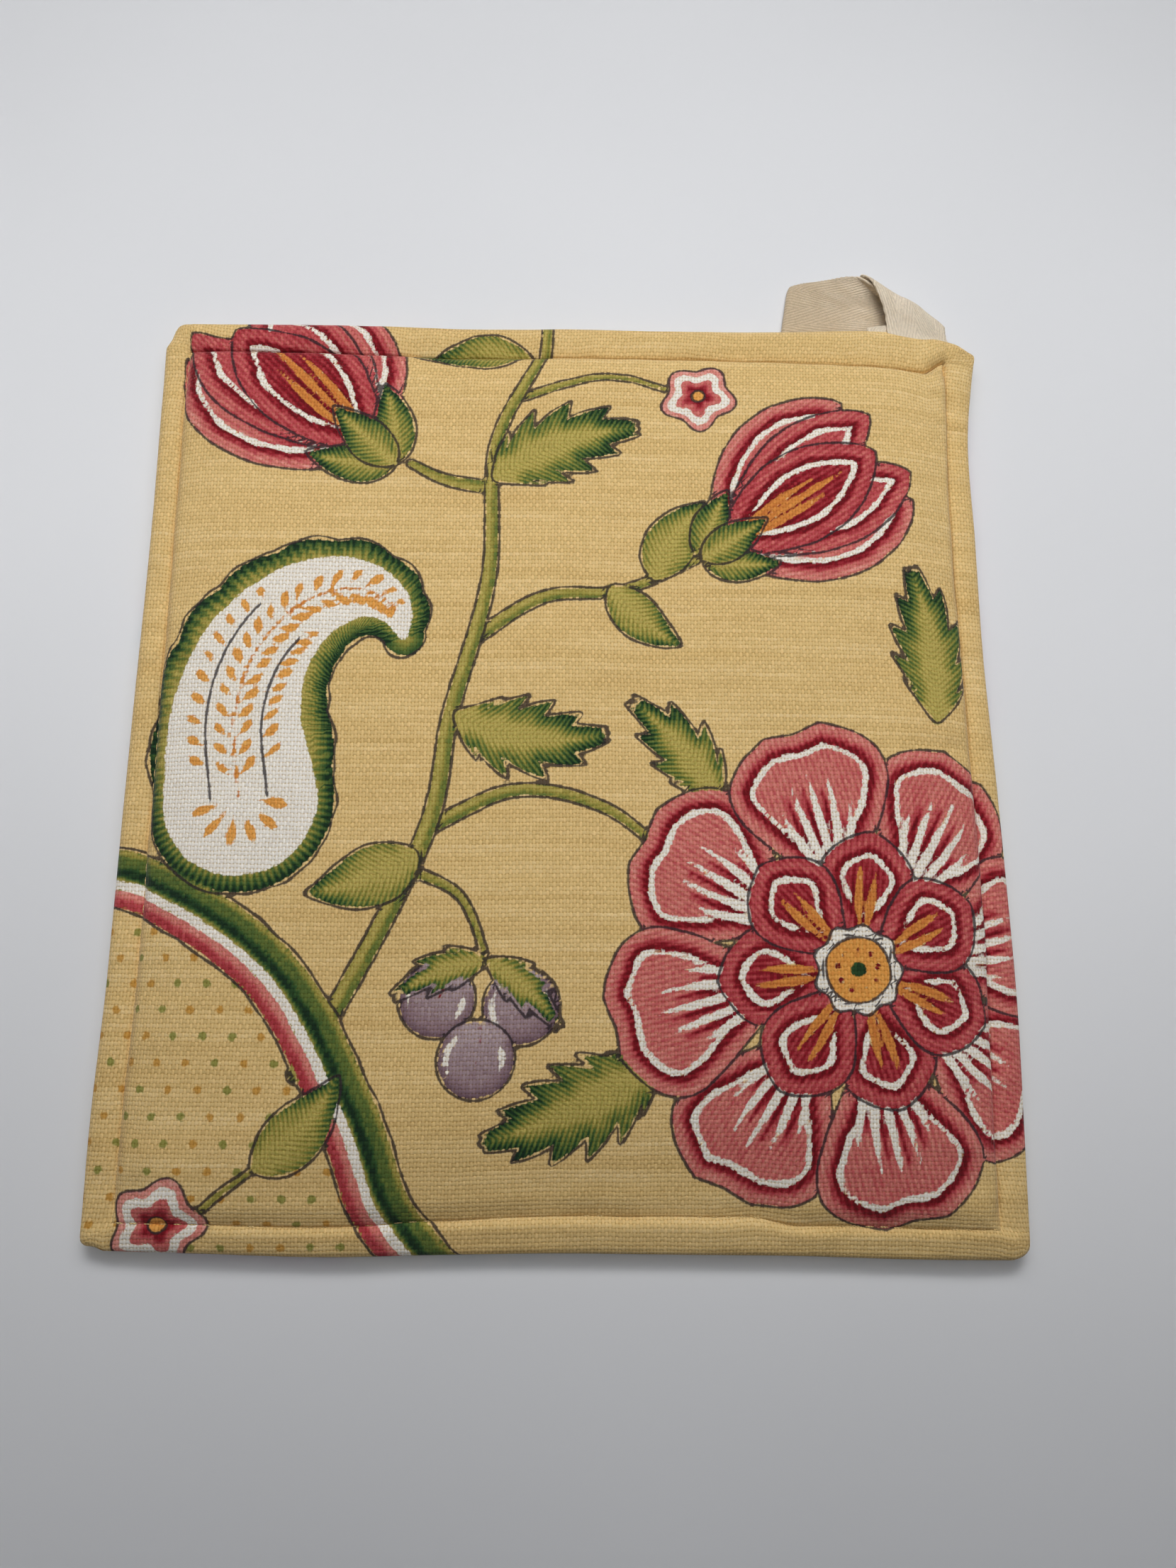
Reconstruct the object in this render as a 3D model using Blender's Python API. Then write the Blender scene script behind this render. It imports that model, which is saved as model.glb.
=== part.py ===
"""Quilted pot holder with a twill tape hanging loop, lying on a flat surface.

Two nodes: the padded body, one filled solid with a stitched channel round it, and the tape loop,
whose two ends are sewn into a slot in the body's far edge. Metres, +Z up, +X to the right,
+Y away from the user. The origin is the middle of the flat underside.
"""

import math

import bpy
import numpy as np

MM = 0.001

# ---- The body's outline: four corners, and how far each side bulges past the straight line -----
WIDTH = 203 * MM
DEPTH = 221 * MM
CORNERS = {  # name: (x, y) in millimetres
    "near_left": (-101.9, -111.3),
    "near_right": (102.6, -110.9),
    "far_right": (100.8, 111.0),
    "far_left": (-103.0, 106.3),
}
CORNER_ROUNDING = {"near_left": 3.0, "near_right": 4.5, "far_right": 9.0, "far_left": 5.5}
# Each side: its two corners; its bulge outwards and its stitch line's distance from the edge, in
# millimetres at nine even stations; and how far in the padding takes to reach its full height.
SIDES = {
    "near": {
        "ends": ("near_left", "near_right"),
        "bulge": (0.0, 0.45, 0.9, 0.15, -0.4, -0.4, -0.4, 0.05, 0.0),
        "stitch": (6.0, 6.2, 6.4, 7.4, 8.2, 7.8, 6.6, 6.2, 6.2),
        "wall": 11.0,
    },
    "right": {
        "ends": ("near_right", "far_right"),
        "bulge": (0.0, 0.3, 0.45, -0.4, -1.5, -2.7, -2.95, -2.0, 0.0),
        "stitch": (6.6, 7.4, 7.4, 6.5, 6.3, 6.0, 6.6, 6.4, 8.2),
        "wall": 6.5,
    },
    "far": {
        "ends": ("far_left", "far_right"),
        "bulge": (0.0, 0.4, 0.6, 0.3, 0.9, 0.9, 1.3, 2.0, 0.0),
        "stitch": (6.2, 6.3, 6.6, 6.9, 7.1, 7.4, 7.8, 8.6, 9.0),
        "wall": 6.5,
    },
    "left": {
        "ends": ("near_left", "far_left"),
        "bulge": (0.0, 0.25, -0.4, -0.4, -0.45, -0.6, -0.7, -0.4, 0.0),
        "stitch": (6.8, 7.0, 7.0, 6.8, 6.6, 6.2, 5.9, 5.9, 6.4),
        "wall": 9.0,
    },
}

# ---- Heights above the surface that the body lies on -------------------------------------------
EDGE_HEIGHT = 3.2 * MM
FAR_RIGHT_LIFT = 0.6 * MM
HEM_TOP = 5.8 * MM
HEM_UNDERSIDE = 0.7 * MM
CHANNEL_TOP = 4.6 * MM
CHANNEL_UNDERSIDE = 1.9 * MM
PANEL_TOP = 9.0 * MM
CROWN = 1.4 * MM
HEM_CREST = 0.38  # where the hem is thickest, as a share of the way from edge to stitch line
CHANNEL_SHARPNESS = 3.0
UNDERSIDE_WALL = 5.0  # millimetres in from the stitch line to the flat underside

# Soft swells in the padding: centre x, y, reach and height, in millimetres.
SWELLS = (
    (58, 60, 46, 0.9),
    (62, -54, 48, 0.8),
    (-48, 6, 44, 0.5),
    (-62, -68, 34, -0.7),
    (4, -94, 30, -0.6),
    (-70, 76, 34, -0.5),
)

# Where the mesh lines run: shares of the hem, then millimetres in from the stitch line.
HEM_STATIONS = (0.0, 0.05, 0.17, 0.38, 0.66, 0.88)
PANEL_STATIONS = (0.0, 1.0, 2.4, 4.4, 7.0, 11.0, 17.0)
MIDDLE_LINES = 12
STITCH_FADE = 40.0  # millimetres in from the edge over which the stitch line's waves die out

# ---- The hanging loop: a tape folded in half, both layers turned under along a diagonal fold -----
TAPE_THICKNESS = 1.0 * MM
LAYER_PITCH = 1.3 * MM
LOWEST_LAYER = 0.55 * MM
SEAM_HEIGHT = 3.95 * MM  # of the upper layer, where both are held in the seam
# Rows across the tape from its sewn end to the fold line: left x, y and right x, y in millimetres.
STRAND_ROWS = (
    (78.2, 107.0, 93.4, 107.4),
    (77.5, 112.7, 93.7, 111.2),
    (77.3, 115.4, 93.5, 111.9),
    (76.7, 118.4, 93.0, 112.4),
    (75.4, 122.0, 92.5, 112.6),
    (73.8, 124.5, 92.0, 112.8),
    (71.4, 126.1, 91.6, 112.9),
)
LOWER_LAYER_SPLAY = (4.6, 4.2, 2.2, 0.8, 0.0, 0.0, 0.0)  # its left selvage, further left
# Rows from the fold line to the bight, on the part that lies beneath and runs off to the left.
RUN_ROWS = (
    (71.4, 126.1, 91.6, 112.9),
    (68.6, 127.0, 83.5, 113.3),
    (65.2, 127.3, 75.5, 113.5),
    (61.3, 127.0, 67.5, 113.0),
    (57.6, 126.6, 59.2, 112.6),
    (53.9, 126.0, 51.4, 112.2),
)
FOLD_RADIUS = (2.6 * MM, 1.95 * MM)  # of the upper layer, at its left and right selvages
FOLD_BOW = 1.2 * MM
MOUTH_SLANT = 2.2 * MM  # how far the fold's open left end is drawn back at its outermost line
RUN_PUFF = 0.5 * MM
TAPE_COLUMNS = 8
ROWS_IN_STRAND = 9
ROWS_IN_FOLD = 8
ROWS_IN_RUN = 8
ROWS_IN_BIGHT = 6

SLOT_CLEARANCE = 0.3 * MM
SLOT_SIDE_CLEARANCE = 0.7 * MM
SLOT_PAST_EDGE = 8.0 * MM

CLOTH_COLOUR = (0.70, 0.49, 0.19, 1.0)
TAPE_COLOUR = (0.68, 0.58, 0.45, 1.0)
CLOTH_ROUGHNESS = 0.9


def smooth_step(x):
    x = np.clip(x, 0.0, 1.0)
    return x * x * (3.0 - 2.0 * x)


def from_stations(values, share):
    """A smooth curve through values at even stations from share 0 to share 1."""
    place = np.clip(share, 0.0, 1.0) * (len(values) - 1)
    low = np.minimum(place.astype(int), len(values) - 2)
    table = np.asarray(values, float)
    padded = np.concatenate([[2 * table[0] - table[1]], table, [2 * table[-1] - table[-2]]])
    a, b, c, d = (padded[low + k] for k in range(4))
    t = place - low
    return b + 0.5 * t * (c - a + t * (2 * a - 5 * b + 4 * c - d + t * (3 * (b - c) + d - a)))


def side_point(name, share):
    """Points on one side of the outline, at that share of the way along it."""
    side = SIDES[name]
    start, end = (np.array(CORNERS[corner]) for corner in side["ends"])
    along = (end - start) / np.linalg.norm(end - start)
    outwards = np.array([along[1], -along[0]])
    if name in ("far", "left"):
        outwards = -outwards
    bulge = from_stations(side["bulge"], share)
    return (start + share[..., None] * (end - start) + bulge[..., None] * outwards) * MM


def plan_point(across, up):
    """Where a point of the square cloth lies on the surface. The two shares run from 0 to 1."""
    corner = {name: np.array(place) * MM for name, place in CORNERS.items()}
    s, t = across[..., None], up[..., None]
    ruled = (
        (1 - t) * side_point("near", across)
        + t * side_point("far", across)
        + (1 - s) * side_point("left", up)
        + s * side_point("right", up)
    )
    flat = (
        (1 - s) * (1 - t) * corner["near_left"]
        + s * (1 - t) * corner["near_right"]
        + s * t * corner["far_right"]
        + (1 - s) * t * corner["far_left"]
    )
    return ruled - flat


def round_corners(across, up):
    """Draws the cloth's square corners in to round ones, as shares of the width and depth."""
    x, y = across * WIDTH, up * DEPTH
    places = {
        "near_left": (0, 0),
        "near_right": (1, 0),
        "far_right": (1, 1),
        "far_left": (0, 1),
    }
    for name, (right, far) in places.items():
        radius = CORNER_ROUNDING[name] * MM
        centre_x = WIDTH - radius if right else radius
        centre_y = DEPTH - radius if far else radius
        a = (x - centre_x) * (1 if right else -1)
        b = (y - centre_y) * (1 if far else -1)
        inside = (a > 0) & (b > 0)
        length = np.maximum(np.hypot(a, b), 1e-9)
        shrink = np.where(inside, np.maximum(a, b) / length, 1.0)
        x = centre_x + (x - centre_x) * shrink
        y = centre_y + (y - centre_y) * shrink
    return x / WIDTH, y / DEPTH


def grid_lines(length):
    """Nominal mesh lines across the cloth, as (hem share, millimetres past the stitch) pairs."""
    lines = [(share, 0.0) for share in HEM_STATIONS] + [(1.0, mm) for mm in PANEL_STATIONS]
    nominal = 7.0
    start = nominal + PANEL_STATIONS[-1]
    middle = np.linspace(start, length / MM - start, MIDDLE_LINES + 2)[1:-1]
    low = [nominal * share + mm for share, mm in lines]
    places = np.array(low + list(middle) + [length / MM - x for x in reversed(low)])
    return places * MM


def edge_distances(near_name, far_name, places, length, other_share):
    """For each mesh line and each place along it: its true place, its share of the hem on either
    side, and how many millimetres it lies past either side's stitch line."""
    nominal = 7.0
    at = places[:, None] / MM + 0 * other_share[None, :]
    total = length / MM
    found = {}
    for name, inwards in ((near_name, at), (far_name, total - at)):
        stitch = from_stations(SIDES[name]["stitch"], other_share)[None, :]
        fade = np.clip((STITCH_FADE - inwards) / (STITCH_FADE - nominal), 0.0, 1.0)
        true = np.where(
            inwards <= nominal, inwards / nominal * stitch, inwards + (stitch - nominal) * fade
        )
        found[name] = {"true": true, "hem": np.minimum(inwards / nominal, 1.0), "past": true - stitch}
    low_half = at < total / 2
    place = np.where(low_half, found[near_name]["true"], total - found[far_name]["true"])
    return place * MM, found


def body_surface():
    """Grids of the top and the underside of the body: two arrays of points."""
    across_lines, up_lines = grid_lines(WIDTH), grid_lines(DEPTH)
    across, by_x = edge_distances("left", "right", across_lines, WIDTH, up_lines / DEPTH)
    up, by_y = edge_distances("near", "far", up_lines, DEPTH, across_lines / WIDTH)
    up = up.T
    for found in by_y.values():
        for key in found:
            found[key] = found[key].T
    sides = {**by_x, **by_y}

    hem = np.minimum.reduce([side["hem"] for side in sides.values()])
    on_panel = hem >= 1.0 - 1e-9
    rise = np.ones_like(hem)
    sink = np.ones_like(hem)
    for name, side in sides.items():
        past = np.maximum(side["past"], 0.0)
        rise *= 1.0 - (1.0 - np.minimum(past / SIDES[name]["wall"], 1.0)) ** 3
        sink *= 1.0 - (1.0 - np.minimum(past / UNDERSIDE_WALL, 1.0)) ** 2

    s, t = round_corners(across / WIDTH, up / DEPTH)
    plan = plan_point(s, t)
    panel_top = PANEL_TOP + CROWN * np.sin(math.pi * s) ** 0.8 * np.sin(math.pi * t) ** 0.8
    for x, y, reach, height in SWELLS:
        away = np.hypot(plan[..., 0] / MM - x, plan[..., 1] / MM - y) / reach
        panel_top = panel_top + height * MM * np.exp(-(away**2))

    crest = np.where(
        hem < HEM_CREST,
        np.sqrt(np.clip(1.0 - (1.0 - hem / HEM_CREST) ** 2, 0.0, 1.0)),
        0.0,
    )
    beyond = np.clip((hem - HEM_CREST) / (1.0 - HEM_CREST), 0.0, 1.0) ** CHANNEL_SHARPNESS
    lift = FAR_RIGHT_LIFT * smooth_step((s - 0.7) / 0.3) * smooth_step((t - 0.7) / 0.3)
    hem_top = np.where(
        hem < HEM_CREST,
        EDGE_HEIGHT + (HEM_TOP - EDGE_HEIGHT) * crest,
        HEM_TOP + (CHANNEL_TOP - HEM_TOP) * beyond,
    )
    hem_under = np.where(
        hem < HEM_CREST,
        EDGE_HEIGHT + (HEM_UNDERSIDE - EDGE_HEIGHT) * crest,
        HEM_UNDERSIDE + (CHANNEL_UNDERSIDE - HEM_UNDERSIDE) * beyond,
    )
    top = np.where(on_panel, CHANNEL_TOP + (panel_top - CHANNEL_TOP) * rise, hem_top + lift)
    under = np.where(on_panel, CHANNEL_UNDERSIDE * (1.0 - sink), hem_under + lift)
    top = top + np.where(on_panel, lift * (1.0 - rise), 0.0)
    under = under + np.where(on_panel, lift * (1.0 - sink), 0.0)
    return np.dstack([plan, top]), np.dstack([plan, under])


def closed_sheet(top, under):
    """Vertices and faces of the solid between two grids that share their outer ring."""
    columns, rows = top.shape[:2]
    top_index = np.arange(columns * rows).reshape(columns, rows)
    inner = under[1:-1, 1:-1].reshape(-1, 3)
    under_index = top_index.copy()
    under_index[1:-1, 1:-1] = columns * rows + np.arange(len(inner)).reshape(columns - 2, rows - 2)
    faces = []
    for i in range(columns - 1):
        for j in range(rows - 1):
            corners = ((i, j), (i + 1, j), (i + 1, j + 1), (i, j + 1))
            faces.append([int(top_index[c]) for c in corners])
            faces.append([int(under_index[c]) for c in reversed(corners)])
    return np.concatenate([top.reshape(-1, 3), inner]), faces


def through_rows(table, count):
    """The selvage points of that many even intervals through a table of rows, in metres."""
    share = np.linspace(0.0, 1.0, count + 1)
    columns = [from_stations(column, share) for column in zip(*table)]
    return np.array(columns).T * MM


def tape_layer(inset):
    """Rows of points across one layer, from its sewn end to where the bight begins. The inset is
    how far inside the upper layer it lies, which is the outer one all round the diagonal fold."""
    v = np.linspace(0.0, 1.0, TAPE_COLUMNS + 1)
    radius = np.interp(v, (0.0, 1.0), FOLD_RADIUS)
    axis_height = LOWEST_LAYER + radius
    radius = radius - inset

    strand = through_rows(STRAND_ROWS, ROWS_IN_STRAND)
    run = through_rows(RUN_ROWS, ROWS_IN_RUN)
    if inset:
        share = np.linspace(0.0, 1.0, ROWS_IN_STRAND + 1)
        strand[:, 0] -= from_stations(LOWER_LAYER_SPLAY, share) * MM
    crease = run[0]
    along = (crease[:2] - crease[2:]) / np.linalg.norm(crease[:2] - crease[2:])
    outwards = np.array([along[1], -along[0]])
    bow = FOLD_BOW * np.sin(math.pi * v) ** 2

    def plan_row(row, bowed):
        straight = row[:2] + v[:, None] * (row[2:] - row[:2])
        return straight + (bow * bowed)[:, None] * outwards

    rows = []
    for k, row in enumerate(strand[:-1]):
        share = k / ROWS_IN_STRAND
        rise = smooth_step((share - 0.17) / 0.83)
        height = (SEAM_HEIGHT - inset) * (1 - rise) + (axis_height + radius) * rise
        rows.append(np.column_stack([plan_row(row, share**2), height]))
    for turn in np.linspace(0.0, math.pi, ROWS_IN_FOLD + 1):
        drawn_back = MOUTH_SLANT * math.sin(turn) * (1.0 - v) ** 2
        plan = plan_row(crease, 1.0) + (radius * math.sin(turn))[:, None] * outwards
        plan = plan - drawn_back[:, None] * along
        rows.append(np.column_stack([plan, axis_height + radius * math.cos(turn)]))
    for k, row in enumerate(run[1:], 1):
        share = k / ROWS_IN_RUN
        puff = RUN_PUFF * bool(inset) * math.sin(math.pi * share) * np.sin(math.pi * v)
        level = np.full_like(v, LOWEST_LAYER + inset) + puff
        rows.append(np.column_stack([plan_row(row, (1 - share) ** 2), level]))
    return np.array(rows)


def tape_middle():
    """The tape's middle surface as a grid of points: rows along it, columns across it."""
    outer = tape_layer(0.0)
    inner = tape_layer(LAYER_PITCH)
    end = outer[-1]
    across = (end[-1] - end[0]) / np.linalg.norm(end[-1] - end[0])
    heading = np.array([across[1], -across[0], 0.0])
    radius = LAYER_PITCH / 2
    bight = [
        end
        + radius * math.sin(turn) * heading
        + np.array([0.0, 0.0, radius * (1.0 - math.cos(turn))])
        for turn in np.linspace(0.0, math.pi, ROWS_IN_BIGHT + 1)[1:-1]
    ]
    return np.concatenate([outer, np.array(bight), inner[::-1]])


def thickened(middle, thickness):
    """Vertices and faces of a closed sheet of that thickness about a grid of points."""
    along = np.gradient(middle, axis=0)
    across = np.gradient(middle, axis=1)
    normal = np.cross(along, across)
    normal /= np.linalg.norm(normal, axis=2)[..., None]
    rows, columns = middle.shape[:2]
    points = np.concatenate(
        [(middle + normal * thickness / 2).reshape(-1, 3), (middle - normal * thickness / 2).reshape(-1, 3)]
    )
    one = np.arange(rows * columns).reshape(rows, columns)
    two = one + rows * columns
    faces = []
    for i in range(rows - 1):
        for j in range(columns - 1):
            faces.append([int(one[i, j]), int(one[i + 1, j]), int(one[i + 1, j + 1]), int(one[i, j + 1])])
            faces.append([int(two[i, j]), int(two[i, j + 1]), int(two[i + 1, j + 1]), int(two[i + 1, j])])
    ring = (
        [(i, 0) for i in range(rows - 1)]
        + [(rows - 1, j) for j in range(columns - 1)]
        + [(i, columns - 1) for i in range(rows - 1, 0, -1)]
        + [(0, j) for j in range(columns - 1, 0, -1)]
    )
    for here, there in zip(ring, ring[1:] + ring[:1]):
        faces.append([int(one[there]), int(one[here]), int(two[here]), int(two[there])])
    return points, faces


def material(name, colour):
    made = bpy.data.materials.new(name)
    made.use_nodes = True
    shader = made.node_tree.nodes["Principled BSDF"]
    shader.inputs["Base Color"].default_value = colour
    shader.inputs["Roughness"].default_value = CLOTH_ROUGHNESS
    shader.inputs["Metallic"].default_value = 0.0
    made.diffuse_color = colour
    return made


def add_object(name, points, faces, finish):
    mesh = bpy.data.meshes.new(name)
    mesh.from_pydata([tuple(map(float, point)) for point in points], [], faces)
    mesh.validate()
    mesh.materials.append(finish)
    mesh.shade_smooth()
    made = bpy.data.objects.new(name, mesh)
    bpy.context.scene.collection.objects.link(made)
    return made


def add_seam_slot(body):
    """Opens the body's far edge between its two cloths, where the tape's ends are sewn in."""
    low = SEAM_HEIGHT - LAYER_PITCH - TAPE_THICKNESS / 2 - SLOT_CLEARANCE
    high = SEAM_HEIGHT + TAPE_THICKNESS / 2 + SLOT_CLEARANCE
    left_x, left_y, right_x, right_y = (value * MM for value in STRAND_ROWS[0])
    left_x -= LOWER_LAYER_SPLAY[0] * MM + SLOT_SIDE_CLEARANCE
    right_x += SLOT_SIDE_CLEARANCE
    near = min(left_y, right_y) - SLOT_CLEARANCE
    far = max(left_y, right_y) + SLOT_PAST_EDGE
    plan = ((left_x, near), (right_x, near), (right_x, far), (left_x, far))
    corners = [(x, y, z) for z in (low, high) for x, y in plan]
    faces = [[0, 3, 2, 1], [4, 5, 6, 7], [0, 1, 5, 4], [1, 2, 6, 5], [2, 3, 7, 6], [3, 0, 4, 7]]
    mesh = bpy.data.meshes.new("seam_slot_cutter")
    mesh.from_pydata(corners, [], faces)
    cutter = bpy.data.objects.new("seam_slot_cutter", mesh)
    bpy.context.scene.collection.objects.link(cutter)
    cutter.hide_render = True
    cutter.display_type = "WIRE"
    cut = body.modifiers.new("seam_slot", "BOOLEAN")
    cut.operation = "DIFFERENCE"
    cut.solver = "EXACT"
    cut.object = cutter


def main():
    for old in list(bpy.data.objects):
        bpy.data.objects.remove(old)
    cloth = material("printed_cloth", CLOTH_COLOUR)
    twill = material("twill_tape", TAPE_COLOUR)
    body = add_object("padded_body", *closed_sheet(*body_surface()), cloth)
    add_seam_slot(body)
    add_object("hanging_loop", *thickened(tape_middle(), TAPE_THICKNESS), twill)


main()
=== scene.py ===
"""Looks for the quilted pot holder: printed cotton cover, topstitching and twill tape loop.

The cover and the loop are modelled from the same named values as the CAD solids, on far finer
meshes. The print is painted in code, as distances to each ink's area that the cloth's material
turns into sharp colour. Lengths are millimetres in the CAD frame, apart from those of the camera,
the lights and the floor, which are metres.
"""

import math

import bpy
import numpy as np
from mathutils import Matrix


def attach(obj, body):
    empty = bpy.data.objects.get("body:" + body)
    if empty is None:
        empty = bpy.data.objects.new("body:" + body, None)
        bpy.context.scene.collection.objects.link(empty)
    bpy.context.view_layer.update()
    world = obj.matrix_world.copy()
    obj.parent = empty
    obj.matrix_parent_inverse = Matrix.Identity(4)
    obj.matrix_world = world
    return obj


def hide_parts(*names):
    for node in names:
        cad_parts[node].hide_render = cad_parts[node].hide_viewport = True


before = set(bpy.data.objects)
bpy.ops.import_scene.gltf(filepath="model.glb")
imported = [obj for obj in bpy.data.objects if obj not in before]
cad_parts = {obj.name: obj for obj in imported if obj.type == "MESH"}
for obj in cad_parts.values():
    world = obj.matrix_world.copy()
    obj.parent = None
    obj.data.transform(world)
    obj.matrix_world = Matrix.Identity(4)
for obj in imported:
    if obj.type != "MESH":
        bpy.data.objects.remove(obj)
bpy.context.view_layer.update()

MM = 0.001

# ---- The body: corners, sides and heights, after those of the CAD source -----------------------
WIDTH = 203.0
DEPTH = 221.0
# Each corner: its place; its rounding; and how far out its outline reaches, as a share of that, at
# nine even angles from its left or right edge to its near or far one: 1 is a quarter circle.
CORNERS = {
    "near_left": ((-101.9, -111.3), 5.0, (1.0, 1.02, 1.08, 1.15, 1.12, 1.0, 0.93, 0.94, 1.0)),
    "near_right": ((102.6, -110.9), 4.5, (1.0, 1.01, 1.05, 1.06, 1.04, 1.02, 1.0, 1.0, 1.0)),
    "far_right": ((100.8, 111.0), 6.0, (1.0, 1.03, 1.07, 1.03, 0.97, 0.94, 0.95, 0.98, 1.0)),
    "far_left": ((-103.0, 106.3), 7.0, (1.0, 0.93, 0.90, 0.93, 1.0, 1.08, 1.07, 1.01, 1.0)),
}
# Each side: its two corners and its direction outwards; at nine even stations its bulge outwards,
# its stitch line's distance from the edge, how far in the padding takes to reach its full height,
# and how far the stitches pull the channel down; and how far that pull reaches on the hem and on
# the padding. Then how sharply the padding rolls over; its bank, as the share of the height that
# rises steeply from the stitch line, how far in, and how sharply that rolls over; how far it hangs
# out over that line; how deep the crease along the line is; how far the hem slants from the line
# to its edge, from 0 for a round, level hem to 1; and how far the channel is raised.
SIDES = {
    "near": {
        "ends": ("near_left", "near_right"),
        "outwards": (0, -1),
        "bulge": (0.0, 0.45, 0.9, 0.15, -0.4, -0.4, -0.4, 0.05, 0.0),
        "stitch": (6.0, 6.2, 6.4, 7.2, 7.8, 7.9, 8.1, 8.3, 8.1),
        "wall": (12.0, 17.0, 23.0, 29.0, 33.0, 35.0, 33.0, 26.0, 12.0),
        "draw": (0.2, 0.6, 1.0, 1.3, 1.6, 1.6, 1.5, 1.0, 0.2),
        "draw_reach": (1.2, 13.0),
        "roll": 1.6, "bank": (0.48, 4.2, 1.35), "overhang": 0.0,
        "notch": 0.5, "slant": 1.0, "raised": 1.3,
    },
    "right": {
        "ends": ("near_right", "far_right"),
        "outwards": (1, 0),
        "bulge": (0.0, 0.3, 0.45, -0.4, -1.5, -2.7, -2.95, -3.4, 0.0),
        "stitch": (6.6, 7.4, 7.4, 6.5, 6.3, 6.0, 6.5, 6.0, 8.6),
        "wall": (14.0, 16.0, 18.0, 18.0, 18.0, 18.0, 18.0, 17.0, 14.0),
        "draw": (0.2, 0.3, 0.3, 0.3, 0.2, 0.2, 0.2, 0.3, 0.3),
        "draw_reach": (2.0, 2.0),
        "roll": 2.4, "bank": (0.42, 2.6, 2.0), "overhang": 0.9,
        "notch": 0.9, "slant": 0.6, "raised": 0.0,
    },
    "far": {
        "ends": ("far_left", "far_right"),
        "outwards": (0, 1),
        "bulge": (0.0, 0.4, 0.6, 0.3, 0.9, 0.9, 1.3, 2.0, 0.0),
        "stitch": (8.3, 8.5, 8.9, 9.2, 9.1, 8.7, 9.5, 10.9, 12.4),
        "wall": (14.0, 15.0, 16.0, 16.0, 16.0, 16.0, 15.0, 14.0, 12.0),
        "draw": (-0.5, -0.5, -0.5, -0.5, -0.6, -0.6, -0.6, -0.4, 0.1),
        "draw_reach": (2.0, 2.0),
        "roll": 2.4, "bank": (0.50, 2.6, 2.0), "overhang": 0.3,
        "notch": 2.2, "slant": 0.0, "raised": 0.0,
    },
    "left": {
        "ends": ("near_left", "far_left"),
        "outwards": (-1, 0),
        "bulge": (0.0, 0.25, -0.4, -0.4, -0.45, -0.6, -0.7, -0.4, 0.0),
        "stitch": (6.8, 7.0, 7.0, 6.8, 6.6, 6.2, 5.9, 5.9, 6.4),
        "wall": (14.0, 16.0, 18.0, 18.0, 18.0, 18.0, 18.0, 16.0, 14.0),
        "draw": (0.0, -0.3, -0.5, -0.5, -0.5, -0.5, -0.5, -0.3, 0.0),
        "draw_reach": (2.0, 2.0),
        "roll": 2.4, "bank": (0.35, 2.6, 2.0), "overhang": 0.2,
        "notch": 0.4, "slant": 0.3, "raised": 0.0,
    },
}
UPRIGHT = ("left", "right")
STATION_SPAN = 1.04  # the length over which a side's wall and draw run, as a share of the width
EDGE_HEIGHT = 3.2
FAR_RIGHT_LIFT, LIFT_START = 0.6, 0.7  # and the share of the width and depth where it sets in
HEM_TOP, HEM_UNDERSIDE = 5.8, 0.7
CHANNEL_TOP, CHANNEL_UNDERSIDE = 4.6, 1.9
PANEL_TOP = 9.0
CROWN, CROWN_ROUNDNESS = 1.4, 0.8
HEM_CREST = 0.38  # where the hem is thickest, as a share of the way from edge to stitch line
CHANNEL_SHARPNESS = 3.0
# A slanted hem: its turned edge's share of the height and of the hem's width, then where the
# slope ends and how straight it is.
SLANT_EDGE, SLANT_EDGE_WIDTH, SLANT_END, SLANT_POWER = 0.35, 0.2, 0.95, 0.9
SIDE_BLEND = 0.15  # over how much of a hem's width one side's slant gives way to another's
NOTCH_REACH = (0.26, 0.12)  # on the hem and on the padding
PUCKER = 0.26
GATHERS = ((1.0, 3.7, 0.0, 40, 11), (0.7, 7.5, 0.6, 90, 21))  # height, size, growth, row and seed
GATHER_REACH = (4.6, 2.6)  # on the padding and on the hem
# Where the padding hangs out over the stitch line: how far in, over what width, how far from the
# corners, and over what length that varies.
OVERHANG_PLACE, OVERHANG_REACH, OVERHANG_INSET, SLACK_SIZE = 2.0, 1.5, 9.0, 17.0
UNEVEN_SIZE = 4.0  # of the lumps that make the crease along the stitches uneven
UNDERSIDE_WALL = 5.0  # from the stitch line to the flat underside
NOMINAL_HEM = 7.0
STITCH_FADE = 40.0  # how far in from the edge the stitch line's waves die out

# Soft swells in the padding: centre x, y, reach and height.
SWELLS = (
    (58, 60, 46, 0.9), (62, -54, 48, 0.8), (-48, 6, 44, 0.5), (-62, -68, 34, -0.7),
    (4, -94, 30, -0.5), (32, -98, 21, -1.7), (-70, 76, 34, -0.5),
)
# Lumps in the padding and in the hem: height, size and seed.
PANEL_LUMPS = ((0.28, 27.0, 1), (0.13, 12.0, 2), (0.045, 5.0, 3))
HEM_LUMPS = ((0.16, 9.0, 4), (0.06, 3.5, 5))

# Creases beside the far right corner, where the spare cloth is tucked in: start, end, depth and
# reach. A negative depth is a fold that stands up.
CREASES = (
    ((87.2, 99.7), (91.8, 100.3), 0.9, 0.4),
    ((89.2, 101.4), (91.8, 102.0), 0.7, 1.3),
    ((86.6, 103.6), (90.2, 106.2), -0.4, 1.4),
)
# Where a stitch line steps towards the edge, and over how long, as shares of its length; and how
# far it steps.
STITCH_STEPS = {"far": (0.938, 0.030, 4.7), "near": (0.69, 0.065, 1.7)}
STITCH_WANDER, STITCH_WANDER_SIZE = 0.14, 9.0
# Where the outline is pulled in, over what reach, and how far.
PULL_PLACE, PULL_REACH, PULL = (96.5, 110.5), 6.0, (0.0, -2.1)

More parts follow.
